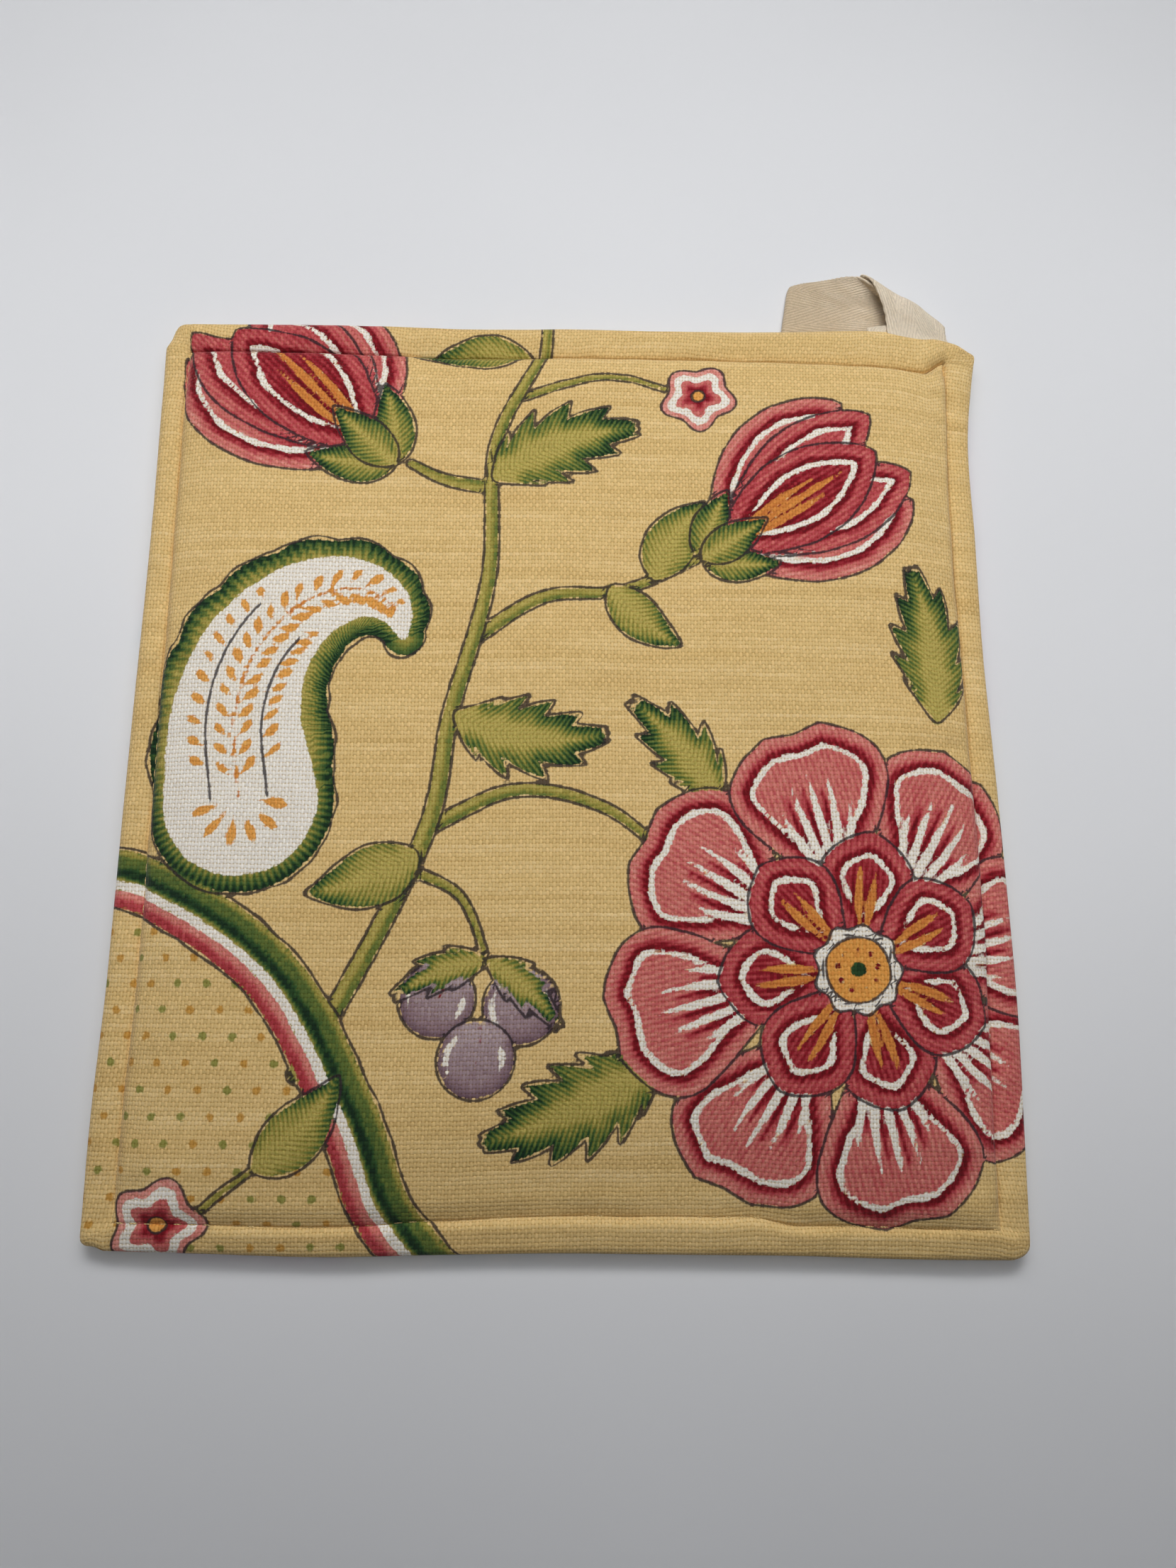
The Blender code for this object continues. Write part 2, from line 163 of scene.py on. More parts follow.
# Where the mesh lines run: shares of the hem, then how far in from the stitch line. The stitch
# line falls on an even line, so that it is also a line of the back's coarser mesh.
HEM_STATIONS = (0, 0.02, 0.06, 0.13, 0.22, 0.33, 0.45, 0.57, 0.68, 0.77, 0.84, 0.90, 0.95, 0.988)
PANEL_STATIONS = (0.0, 0.09, 0.32, 0.8, 1.4, 2.1, 2.8, 3.6, 4.4)
MESH_PITCH = 0.85

# ---- The hanging loop: two layers of tape ------------------------------------------------------
# One layer's two selvages run from the sewn end over the fold to where the tape turns back. It is
# the lower layer until the fold and the upper one past it. The other layer follows it all the way.
TAPE_THICKNESS = 0.95
LAYER_PITCH = 1.0
LEFT_SELVAGE = (
    (78.2, 107.0, 3.95), (77.7, 111.6, 4.2), (77.3, 115.2, 4.8), (76.5, 118.2, 5.4),
    (75.3, 121.3, 5.7), (74.1, 123.7, 5.7), (72.8, 125.7, 5.3), (71.6, 127.2, 4.5),
    (70.2, 128.3, 3.5), (67.4, 128.5, 2.8), (64.4, 128.1, 2.2), (61.0, 127.6, 1.7),
    (57.4, 127.0, 1.2), (54.4, 126.1, 0.9),
)
RIGHT_SELVAGE = (
    (93.4, 107.4, 3.95), (92.9, 110.0, 3.9), (92.6, 111.2, 4.3), (92.3, 111.9, 4.5),
    (92.1, 112.5, 4.5), (92.0, 113.0, 4.3), (91.7, 113.3, 3.8), (91.2, 113.4, 2.9),
    (90.0, 113.2, 1.6), (86.5, 113.1, 0.8), (80.5, 113.0, 0.6), (71.5, 112.9, 0.56),
    (61.5, 112.7, 0.56), (52.2, 112.3, 0.56),
)
LOWEST_TAPE = 1.54
FOLD_SHARE, FOLD_REACH = 0.54, 0.12  # where that layer folds, and over how much of its length
FOLD_BULGE = (0.0, -0.2, -0.5, -0.3, 0.7, 1.1, 0.4, 0.3, 0.1)  # how far the fold bows outwards
FOLD_OUTWARDS = (0.57, 0.82)
TAPE_ARCH = 0.5
SAG_START, SAG_LENGTH, SAG_SHARE = 0.05, 0.3, 0.85  # past the fold, the middle sinks to the table
TAPE_ROWS, TAPE_COLUMNS = 110, 44
ROWS_IN_BIGHT, BIGHT_ROUNDNESS = 10, 1.2
# A lengthwise pleat in the strand: its x, its start and end in y, its lean and its height; and how
# sharply it rises, how slowly it falls and how it fades at its ends.
PLEAT_X, PLEAT_START, PLEAT_END, PLEAT_LEAN, PLEAT_HEIGHT = 81.4, 114.6, 120.6, 0.05, 0.45
PLEAT_RISE, PLEAT_FALL, PLEAT_FADE = 0.3, 1.3, 2.0
SPLAY = 6.0  # how far left of the upper layer the lower one comes out of the seam
SPLAY_END, SPLAY_FADE = 0.105, 0.03
TUCKED_UNDER = 1.0  # how far the lower layer's left selvage lies inside the upper one's
SCALLOP, SCALLOP_PITCH = 0.12, 1.7
BEADING = 0.10
SCALLOP_START, BEADING_START = 0.8, 0.9  # as shares of the way from the tape's middle to its edge
SELVAGE_THINNING, SELVAGE_SHARPNESS = 0.86, 7

# ---- Topstitching ------------------------------------------------------------------------------
STITCH_PITCH = 3.1
STITCH_LENGTH = 2.6
THREAD_RADIUS, THREAD_TAPER = 0.21, 0.72
THREAD_SUNK, THREAD_DIP = 0.18, 0.45
THREAD_SIDES, THREAD_RINGS = 6, 7
ROUTE_PITCH = 0.5

# ---- Camera, measured from the photograph's perspective, in metres ----------------------------
CAMERA_PLACE = (-0.00643, -0.06382, 0.2716)
CAMERA_RIGHT = (0.9989, 0.0196, 0.0425)
CAMERA_BACK = (-0.0375, -0.2051, 0.978)
CAMERA_LENS, CAMERA_SENSOR = 27.05, 36.0  # millimetres

# ---- How the cloth looks -----------------------------------------------------------------------
WARP_PITCH, WEFT_PITCH = 0.75, 0.965
# Painted shade in the gaps between threads, tinted with the brown of the cloth's dye there; then
# the thread heights over which it gives way to the thread's own colour.
GAP_SHADE = (0.71, 0.60, 0.40, 1.0)
GAP_HEIGHTS = (0.12, 0.66)
THREAD_TWIST = 0.0007  # metres
WEAVE_RELIEF = TWILL_RELIEF = 0.00013  # metres
THREAD_RELIEF = 0.00006  # metres
THREAD_SHADES, FLOOR_SHADES = 220.0, 6.0  # how many soft shades fall on a metre
THREAD_EVENING = 12  # mesh lines to either side over which the threads are kept straight
STROKE_PITCH = 1.35  # between the fine strokes that shade leaves and petals
INK_RAGGED = 0.34
INK_SOFTNESS = 0.26
STROKE_DEPTHS = {"rose": 0.08, "green": 0.17, "ochre": 0.08}  # how much the strokes darken an ink
STROKE_FRAY = 0.07  # and how far they fray its edge
PEN_HALF_WIDTH, PEN_SOFTNESS, PEN_STRENGTH = 0.32, 0.24, 0.9
PEN_COLOUR = (46, 38, 44)
DOT_COLUMNS, DOT_ROWS, DOT_RADIUS, DOT_SOFTNESS, DOT_STRENGTH = 6.3, 5.6, 0.85, 0.35, 0.85
DOTS_EDGE, FIRST_DOTS = 0.4, 0.55  # how softly the dotted ground ends; the first colour's share
RIB_ANGLE = math.radians(17)
RIB_PITCH = 0.74
TWILL_THREAD_PITCH = 0.55
HERRINGBONE = 10.0  # across the tape, in which the ribs turn and turn back
CLOTH_FINISH = {
    "Roughness": 0.92, "Specular IOR Level": 0.22, "Sheen Weight": 0.12, "Sheen Roughness": 0.5,
}
TAPE_FINISH = {
    "Roughness": 0.95, "Specular IOR Level": 0.2, "Sheen Weight": 0.2, "Sheen Roughness": 0.6,
}
FLOOR_FINISH = {"Roughness": 0.7, "Specular IOR Level": 0.12}

# Colours as they look on screen. Ramps run from an ink's light tone to its deep one.
GROUND = ((0.15, (211, 177, 114)), (0.5, (226, 195, 134)), (0.85, (239, 212, 157)))
DOT_INKS = ((196, 142, 52), (128, 134, 54))
INK_COLOURS = {
    "rose": (
        (0.0, (236, 184, 172)), (0.3, (216, 132, 122)), (0.6, (188, 76, 82)),
        (0.85, (144, 24, 38)), (1.0, (108, 8, 20)),
    ),
    "white": ((0.0, (230, 222, 210)), (1.0, (252, 249, 243))),
    "green": (
        (0.0, (188, 172, 94)), (0.3, (154, 146, 68)), (0.55, (102, 118, 54)),
        (0.8, (50, 84, 42)), (1.0, (20, 46, 28)),
    ),
    "ochre": ((0.0, (242, 194, 114)), (0.5, (226, 158, 76)), (1.0, (198, 112, 52))),
    "mauve": ((0.0, (188, 170, 174)), (0.5, (144, 120, 128)), (1.0, (106, 82, 94))),
}
TAPE = ((0.2, (204, 184, 155)), (0.5, (217, 199, 173)), (0.8, (231, 217, 195)))
# How far along the tape it turns back; and painted shade and light: how much paler the tape is
# painted with every millimetre from there, counted from the reach where it has its middle shade,
# so that it is painted darker round the bight and the hollow beside it, as painted shade, and
# paler on the raised strand and the sewn ends, as painted light.
BIGHT_PLACE, PAINTED_LIGHT_PER_MM, PAINTED_SHADE_REACH = 47.6, 0.02, 23.0
THREAD = ((0.1, (206, 172, 108)), (0.9, (232, 206, 150)))
FLOOR = ((0.1, (224, 226, 230)), (0.9, (230, 232, 236)))

# ---- Light, in metres --------------------------------------------------------------------------
FLOOR_SIZE = 3.0
SKY_COLOUR = (0.92, 0.95, 1.0, 1.0)
SKY_STRENGTH = 0.045
LAMP_COLOUR = (1.0, 0.99, 0.98)
LIGHTS = (  # name, place, aim, width and depth, watts, spread in degrees
    ("ceiling", (0.0, 0.10, 0.90), (0.0, 0.08, 0.0), (1.4, 0.25), 0.45, 37),
    ("lamp", (0.0, 0.12, 0.38), (0.0, 0.10, 0.0), (0.7, 0.15), 0.23, 180),
    ("window", (0.0, 0.35, 0.38), (0.0, 0.0, 0.0), (0.7, 0.12), 1.15, 180),
    ("far_fill", (0.0, 0.45, 0.60), (0.0, -0.2, 0.0), (1.0, 0.15), 0.15, 40),
)


def smooth_step(x):
    x = np.clip(x, 0.0, 1.0)
    return x * x * (3.0 - 2.0 * x)


def eased(share, power=2.0):
    """From 0 to 1 as the share does, steeply at first."""
    return 1.0 - (1.0 - np.minimum(share, 1.0)) ** power


def bell(distance, reach):
    return np.exp(-((distance / reach) ** 2))


def unit(vectors):
    return vectors / np.linalg.norm(vectors, axis=-1)[..., None]


def from_stations(values, share):
    """A smooth curve through values at even stations from share 0 to share 1."""
    place = np.clip(share, 0.0, 1.0) * (len(values) - 1)
    low = np.minimum(place.astype(int), len(values) - 2)
    table = np.asarray(values, float)
    padded = np.concatenate([[2 * table[0] - table[1]], table, [2 * table[-1] - table[-2]]])
    a, b, c, d = (padded[low + k] for k in range(4))
    t = place - low
    return b + 0.5 * t * (c - a + t * (2 * a - 5 * b + 4 * c - d + t * (3 * (b - c) + d - a)))


def through_points(table, share):
    """A smooth curve through a table of points."""
    return np.column_stack([from_stations(column, share) for column in zip(*table)])


def lattice_noise(x, y, size, seed):
    """Smooth noise from -1 to 1 whose lumps are about that size."""
    table = np.random.default_rng(seed).uniform(-1.0, 1.0, (64, 64))
    gx, gy = x / size + 31.4, y / size + 27.2
    ix, iy = np.floor(gx).astype(int), np.floor(gy).astype(int)
    fx, fy = smooth_step(gx - ix), smooth_step(gy - iy)
    low, high = (
        table[ix % 64, (iy + j) % 64] * (1 - fx) + table[(ix + 1) % 64, (iy + j) % 64] * fx
        for j in (0, 1)
    )
    return low * (1 - fy) + high * fy


def lumps(kinds, x, y):
    return sum(height * lattice_noise(x, y, size, seed) for height, size, seed in kinds)


# ---- The padded body's surface -----------------------------------------------------------------


def stitch_distance(name, share):
    """How far in from the edge a side's stitch line lies."""
    distance = from_stations(SIDES[name]["stitch"], share)
    if name in STITCH_STEPS:
        start, length, step = STITCH_STEPS[name]
        distance = distance - step * smooth_step((share - start) / length)
    return distance + STITCH_WANDER * lattice_noise(200 * share, 0 * share, STITCH_WANDER_SIZE, 51)


def side_point(name, share):
    """Points on one side of the outline, at that share of the way along it."""
    side = SIDES[name]
    start, end = (np.array(CORNERS[corner][0]) for corner in side["ends"])
    outwards = np.array([end[1] - start[1], start[0] - end[0]]) / np.linalg.norm(end - start)
    if name in ("far", "left"):
        outwards = -outwards
    bulge = from_stations(side["bulge"], share)
    return start + share[..., None] * (end - start) + bulge[..., None] * outwards


def plan_point(across, up):
    """Where a point of the square cloth lies on the surface. The two shares run from 0 to 1."""
    s, t = across[..., None], up[..., None]
    ruled = (
        (1 - t) * side_point("near", across)
        + t * side_point("far", across)
        + (1 - s) * side_point("left", up)
        + s * side_point("right", up)
    )
    near_left, near_right, far_right, far_left = (np.array(c[0]) for c in CORNERS.values())
    near, far = (1 - s) * near_left + s * near_right, s * far_right + (1 - s) * far_left
    return ruled - (1 - t) * near - t * far


def round_corners(across, up):
    """Draws the cloth's square corners in to round ones, as shares of the width and depth."""
    x, y = across * WIDTH, up * DEPTH
    for name, (_, radius, shape) in CORNERS.items():
        hand_x, hand_y = 1 if "right" in name else -1, 1 if "far" in name else -1
        centre_x = WIDTH - radius if hand_x > 0 else radius
        centre_y = DEPTH - radius if hand_y > 0 else radius
        a, b = (x - centre_x) * hand_x, (y - centre_y) * hand_y
        length = np.maximum(np.hypot(a, b), 1e-6)
        turn = np.arctan2(np.maximum(b, 0.0), np.maximum(a, 1e-6)) / (math.pi / 2)
        shrink = np.maximum(a, b) / length * from_stations(shape, turn)
        shrink = np.where((a > 0) & (b > 0), shrink, 1.0)
        x, y = centre_x + (x - centre_x) * shrink, centre_y + (y - centre_y) * shrink
    return x / WIDTH, y / DEPTH


def grid_lines(length):
    """Nominal places of the mesh lines across the cloth."""
    low = [NOMINAL_HEM * share for share in HEM_STATIONS]
    low += [NOMINAL_HEM + past for past in PANEL_STATIONS]
    intervals = 2 * round((length - 2 * low[-1]) / MESH_PITCH / 2)
    middle = np.linspace(low[-1], length - low[-1], intervals + 1)[1:-1]
    return np.array(low + list(middle) + [length - place for place in reversed(low)])


def edge_distances(near_name, far_name, places, total, other_share):
    """For each mesh line and each place along it: its true place; and for either side its share of
    the hem, and how far it lies past the side's stitch line."""
    at = places[:, None] + 0 * other_share[None, :]
    true, found = [], {}
    for name, inwards in ((near_name, at), (far_name, total - at)):
        stitch = stitch_distance(name, other_share)[None, :]
        fade = np.clip((STITCH_FADE - inwards) / (STITCH_FADE - NOMINAL_HEM), 0.0, 1.0)
        on_hem = inwards / NOMINAL_HEM * stitch
        past_hem = inwards + (stitch - NOMINAL_HEM) * fade
        true.append(np.where(inwards <= NOMINAL_HEM, on_hem, past_hem))
        found[name] = np.minimum(inwards / NOMINAL_HEM, 1.0), true[-1] - stitch
    return np.where(at < total / 2, true[0], total - true[1]), found


def body_surface(across_lines, up_lines):
    """Grids of points of the top and the underside of the body."""
    across, by_x = edge_distances("left", "right", across_lines, WIDTH, up_lines / DEPTH)
    up, by_y = edge_distances("near", "far", up_lines, DEPTH, across_lines / WIDTH)
    sides = {**by_x, **{name: (hem.T, past.T) for name, (hem, past) in by_y.items()}}
    hem = np.minimum.reduce([side_hem for side_hem, _ in sides.values()])
    on_panel = hem >= 1.0 - 1e-9
    s, t = round_corners(across / WIDTH, up.T / DEPTH)
    plan = plan_point(s, t)
    pulled = bell(np.linalg.norm(plan - PULL_PLACE, axis=-1), PULL_REACH)
    plan = plan + pulled[..., None] * np.array(PULL)
    x, y = plan[..., 0], plan[..., 1]

    rise, sink = np.ones_like(hem), np.ones_like(hem)
    pucker, drawn, notch = (np.zeros_like(hem) for _ in range(3))
    shift = np.zeros_like(plan)
    for k, (name, (side_hem, past)) in enumerate(sides.items()):
        side, within = SIDES[name], np.maximum(past, 0.0)
        along = y if name in UPRIGHT else x
        station = along / (STATION_SPAN * WIDTH) + 0.5
        rolled = eased(within / from_stations(side["wall"], station), side["roll"])
        share, width, power = side["bank"]
        rise *= share * eased(within / width, power) + (1.0 - share) * rolled
        sink *= eased(within / UNDERSIDE_WALL)
        draw = from_stations(side["draw"], station)
        drawn = np.maximum(drawn, draw * bell(past, np.where(past < 0, *side["draw_reach"])))
        crease = side["notch"] * bell(past, np.where(past < 0, *NOTCH_REACH))
        notch = np.maximum(notch, (hem >= side_hem - 1e-9) * crease)
        # Gathers that run in from the stitches: short on the hem, longer on the padding.
        gather = sum(
            height * lattice_noise(along, past * growth + row * k, size, seed + k)
            for height, size, growth, row, seed in GATHERS
        )
        away = np.abs(past) / np.where(past > 0, *GATHER_REACH)
        pucker += PUCKER * gather * (away * np.exp(1.0 - away))
        slack = 0.75 + 0.5 * lattice_noise(along, 0 * along + 60 * k, SLACK_SIZE, 31 + k)
        lean = side["overhang"] * slack * bell(within - OVERHANG_PLACE, OVERHANG_REACH) * (past > 0)
        for other, (_, other_past) in sides.items():
            if (other in UPRIGHT) != (name in UPRIGHT):
                lean = lean * smooth_step(other_past / OVERHANG_INSET)
        shift += lean[..., None] * np.array(side["outwards"])

    middle = np.maximum(np.sin(math.pi * s) * np.sin(math.pi * t), 0.0)
    panel_top = PANEL_TOP + CROWN * middle**CROWN_ROUNDNESS
    panel_top = panel_top + sum(
        height * bell(np.hypot(x - swell_x, y - swell_y), reach)
        for swell_x, swell_y, reach, height in SWELLS
    )
    panel_top = panel_top + lumps(PANEL_LUMPS, x, y)

    crest = np.sqrt(eased(hem / HEM_CREST))
    beyond = np.clip((hem - HEM_CREST) / (1.0 - HEM_CREST), 0.0, 1.0) ** CHANNEL_SHARPNESS
    lift = FAR_RIGHT_LIFT
    for share in (s, t):
        lift = lift * smooth_step((share - LIFT_START) / (1.0 - LIFT_START))
    slanted = SLANT_EDGE * np.sqrt(eased(hem / SLANT_EDGE_WIDTH))
    slanted += (1.0 - SLANT_EDGE) * np.minimum(hem / SLANT_END, 1.0) ** SLANT_POWER
    depth_in = [side_hem + np.maximum(past, 0) / NOMINAL_HEM for side_hem, past in sides.values()]
    nearest = np.minimum.reduce(depth_in)
    weight = [np.exp((nearest - depth) / SIDE_BLEND) for depth in depth_in]
    slant, raised = (
        sum(w * SIDES[name][key] for w, name in zip(weight, sides)) / sum(weight)
        for key in ("slant", "raised")
    )
    channel = CHANNEL_TOP + raised
    level = HEM_TOP + slant * (channel - HEM_TOP)
    hem_top = EDGE_HEIGHT + (level - EDGE_HEIGHT) * (crest + slant * (slanted - crest))
    hem_top += (channel - level) * beyond + lumps(HEM_LUMPS, x, y) * crest + lift
    hem_under = np.where(
        hem < HEM_CREST,
        EDGE_HEIGHT + (HEM_UNDERSIDE - EDGE_HEIGHT) * crest,
        HEM_UNDERSIDE + (CHANNEL_UNDERSIDE - HEM_UNDERSIDE) * beyond,
    )
    panel = channel + (panel_top - channel) * rise + lift * (1.0 - rise)
    uneven = 0.75 + 0.5 * lattice_noise(x, y, UNEVEN_SIZE, 6)
    top = np.where(on_panel, panel, hem_top) + pucker * np.where(on_panel, 1.0, crest)
    top = top - drawn * crest - notch * uneven
    for start, end, depth, reach in CREASES:
        path, away = np.subtract(end, start), plan - start
        share = np.clip(away @ path / (path @ path), 0.0, 1.0)
        top = top - depth * bell(np.linalg.norm(away - share[..., None] * path, axis=-1), reach)
    under = np.where(on_panel, (CHANNEL_UNDERSIDE + lift) * (1.0 - sink), hem_under + lift)
    under = np.maximum(under - 0.5 * pucker * np.where(on_panel, 1.0 - sink, crest), 0.0)
    return np.dstack([plan + shift, top]), np.dstack([plan, under])


def evened(values, axis):
    """A running mean along one axis, so that small gathers don't bend the threads."""
    span = 2 * THREAD_EVENING + 1
    pad = [(0, 0), (0, 0)]
    pad[axis] = (THREAD_EVENING + 1, THREAD_EVENING)
    total = np.cumsum(np.pad(values, pad, mode="edge"), axis=axis)
    start = np.arange(values.shape[axis])
    return (np.take(total, start + span, axis=axis) - np.take(total, start, axis=axis)) / span


def arc_coordinates(grid):
    """The cloth's own coordinates: lengths measured along the surface's two families of mesh lines
    from its middle."""
    found = []
    for axis in (0, 1):
        steps = evened(np.linalg.norm(np.diff(grid, axis=axis), axis=2), 1 - axis)
        length = np.cumsum(np.insert(steps, 0, 0.0, axis=axis), axis=axis)
        found.append(length - np.take(length, [grid.shape[axis] // 2], axis=axis))
    return found


def quads(grid):
    """Faces between the lines of a grid of vertex numbers."""
    corners = [grid[:-1, :-1], grid[1:, :-1], grid[1:, 1:], grid[:-1, 1:]]
    return np.stack(corners, axis=-1).reshape(-1, 4).tolist()


def add_to_scene(name, data):
    made = bpy.data.objects.new(name, data)
    bpy.context.scene.collection.objects.link(made)
    return made


def add_mesh(name, points, faces, finish, smooth=True):
    mesh = bpy.data.meshes.new(name)
    mesh.from_pydata(np.asarray(points, float).tolist(), [], faces)
    mesh.materials.append(finish)
    if smooth:
        mesh.shade_smooth()
    return add_to_scene(name, mesh)


def add_vector(mesh, name, values):
    """Stores three numbers at each corner of each face, for the material to read."""
    layer = mesh.attributes.new(name, "FLOAT_VECTOR", "CORNER")
    layer.data.foreach_set("vector", np.ascontiguousarray(values, dtype=np.float32).ravel())


def corner_vertices(mesh):
    vertices = np.empty(len(mesh.loops), int)
    mesh.loops.foreach_get("vertex_index", vertices)
    return vertices


def printed(grid, hand):
    """What the cloth's material reads at each point of a surface."""
    u, v = arc_coordinates(grid)
    field = Print(np.column_stack([u.ravel(), hand * v.ravel()]))
    design(field)
    return {name: values.reshape(*grid.shape) for name, values in field.channels().items()}


def make_cover(top, under, finish):
    """A fine top, and a back whose mesh lines are every second one of the top's, joined round the
    edge. The back cloth is a second piece of the print, the right way round from below."""
    inner = under[1:-1, 1:-1].reshape(-1, 3)
    front = np.arange(top[..., 0].size).reshape(top.shape[:2])
    back = np.full(front.shape, -1)
    back[0], back[-1], back[:, 0], back[:, -1] = front[0], front[-1], front[:, 0], front[:, -1]
    back[2:-1:2, 2:-1:2] = front.size + np.arange(len(inner)).reshape(
        under.shape[0] - 2, under.shape[1] - 2
    )
    faces = quads(front)
    front_corners = 4 * len(faces)
    for i in range(0, back.shape[0] - 1, 2):
        for j in range(0, back.shape[1] - 1, 2):
            a, b, c = back[i : i + 3, j : j + 3].tolist()
            ring = (a[0], a[1], a[2], b[2], c[2], c[1], c[0], b[0])
            faces.append([vertex for vertex in ring if vertex >= 0])
    points = np.concatenate([top.reshape(-1, 3), inner])
    cover = add_mesh("quilted_cover", points * MM, faces, finish)

    corners = corner_vertices(cover.data)
    on_back = (np.arange(len(corners)) >= front_corners)[:, None]
    rough = printed(under, -1.0)
    for name, fine in printed(top, 1.0).items():
        grid = np.zeros(top.shape)
        grid[::2, ::2] = rough[name]
        # Points halfway between two of the back's own points on the shared edge.
        for edge in (grid[:, 0], grid[:, -1], grid[0], grid[-1]):
            edge[1::2] = (edge[:-1:2] + edge[2::2]) / 2
        on_front, behind = np.zeros(points.shape), np.zeros(points.shape)
        on_front[: front.size] = fine.reshape(-1, 3)
        behind[back[back >= 0]] = grid[back >= 0]
        add_vector(cover.data, name, np.where(on_back, behind[corners], on_front[corners]))
    return cover


# ---- Topstitching ------------------------------------------------------------------------------


def stitch_route(grid, across, up):
    """Points all round the stitch line of a surface, and back to the first."""
    k = len(HEM_STATIONS)
    route = []
    sides = ((across, grid[:, k]), (up, grid[-1 - k]), (across, grid[:, -1 - k]), (up, grid[k]))
    for lines, edge in sides:
        start, end = (lines[k], lines[-1 - k]) if len(route) < 2 else (lines[-1 - k], lines[k])
        count = int(abs(end - start) / ROUTE_PITCH)
        places = np.linspace(start, end, count, endpoint=False)
        route.append(np.column_stack([np.interp(places, lines, edge[:, c]) for c in range(3)]))
    return np.concatenate([*route, route[0][:1]])


def make_stitches(surfaces, across, up, finish):
    """One thread tube for each stitch, its two ends pulled down into the cloth."""
    share = np.linspace(-1.0, 1.0, THREAD_RINGS)
    radius = (THREAD_RADIUS * np.sqrt(1.0 - THREAD_TAPER * share**2))[:, None, None]
    sunk = THREAD_SUNK + THREAD_DIP * np.abs(share) ** 3
    turn = 2 * math.pi * np.arange(THREAD_SIDES)[:, None] / THREAD_SIDES
    tube = np.arange(THREAD_RINGS * THREAD_SIDES).reshape(THREAD_RINGS, THREAD_SIDES)
    points, faces = [], []
    for grid, outward in surfaces:
        route = stitch_route(grid, across, up)
        steps = np.linalg.norm(np.diff(route, axis=0), axis=1)
        reached = np.concatenate([[0.0], np.cumsum(steps)])
        count = round(reached[-1] / STITCH_PITCH)
        for k in range(count):
            at = (k + 0.5) * reached[-1] / count + share * STITCH_LENGTH / 2
            path = np.column_stack([np.interp(at, reached, route[:, c]) for c in range(3)])
            path[:, 2] += outward * (THREAD_RADIUS - sunk)
            heading = unit(path[-1] - path[0])
            side = unit(np.cross((0.0, 0.0, 1.0), heading))
            around = np.cos(turn) * side + np.sin(turn) * np.cross(heading, side)
            rings = tube + len(points) * tube.size
            points.append(path[:, None] + radius * around)
            closed = np.concatenate([rings, rings[:, :1]], axis=1)
            faces += [[a, d, c, b] for a, b, c, d in quads(closed)]
            faces += [rings[0, ::-1].tolist(), rings[-1].tolist()]
    return add_mesh("topstitching", np.array(points).reshape(-1, 3) * MM, faces, finish)


# ---- The hanging loop --------------------------------------------------------------------------


def tape_normals(grid):
    return unit(np.cross(np.gradient(grid, axis=0), np.gradient(grid, axis=1)))


def tape_middle():
    """The middle surface of both layers of the tape as one grid: rows along it, columns across. Its
    normals point down on the strand and up past the fold."""
    share = np.linspace(0.0, 1.0, TAPE_ROWS)[:, None]
    v = np.linspace(0.0, 1.0, TAPE_COLUMNS + 1)[None, :]
    left, right = (through_points(table, share[:, 0]) for table in (LEFT_SELVAGE, RIGHT_SELVAGE))
    outer = left[:, None] + v[..., None] * (right - left)[:, None]
    crosswise = unit(right - left)[:, None]
    normal = tape_normals(outer)
    arch = np.sin(math.pi * v)
    bulge = from_stations(FOLD_BULGE, v) * bell(share - FOLD_SHARE, FOLD_REACH)
    outer[..., :2] += bulge[..., None] * np.array(FOLD_OUTWARDS)
    outer = outer - (TAPE_ARCH * arch * smooth_step((FOLD_SHARE - share) / 0.2))[..., None] * normal
    sag = smooth_step((share - FOLD_SHARE - SAG_START) / SAG_LENGTH)
    hollow = np.maximum(outer[..., 2] - LOWEST_TAPE, 0.0) * sag * arch**0.6 * SAG_SHARE
    outer[..., 2] = np.maximum(outer[..., 2] - hollow, LOWEST_TAPE)

    x, y = outer[..., 0], outer[..., 1]
    past = x - PLEAT_X + PLEAT_LEAN * (y - PLEAT_START)
    pleat = smooth_step(past / PLEAT_RISE + 0.5) * np.exp(-np.maximum(past, 0.0) / PLEAT_FALL)
    for beyond in (y - PLEAT_START, PLEAT_END - y):
        pleat *= smooth_step(beyond / PLEAT_FADE)
    pleat *= share < FOLD_SHARE
    inner = outer - (LAYER_PITCH + PLEAT_HEIGHT * pleat)[..., None] * tape_normals(outer)

    # Whichever layer is the lower one lies a little inside the other's left selvage.
    inwards = TUCKED_UNDER * (1.0 - v)[..., None] * crosswise
    outer += smooth_step((FOLD_SHARE - share) / FOLD_REACH)[..., None] * inwards
    inner += smooth_step((share - FOLD_SHARE) / FOLD_REACH)[..., None] * inwards
    outer[..., 0] -= SPLAY * (1.0 - smooth_step((share - SPLAY_END) / SPLAY_FADE)) * (1.0 - v)

    centre, arm = (outer[-1] + inner[-1]) / 2, (outer[-1] - inner[-1]) / 2
    reach = np.linalg.norm(arm, axis=1)[:, None] * unit(outer[-1] - outer[-2]) * BIGHT_ROUNDNESS
    turns = np.linspace(0.0, math.pi, ROWS_IN_BIGHT + 1)[1:-1]
    bight = [centre + math.cos(turn) * arm + math.sin(turn) * reach for turn in turns]
    return np.concatenate([outer, np.array(bight), inner[::-1]])


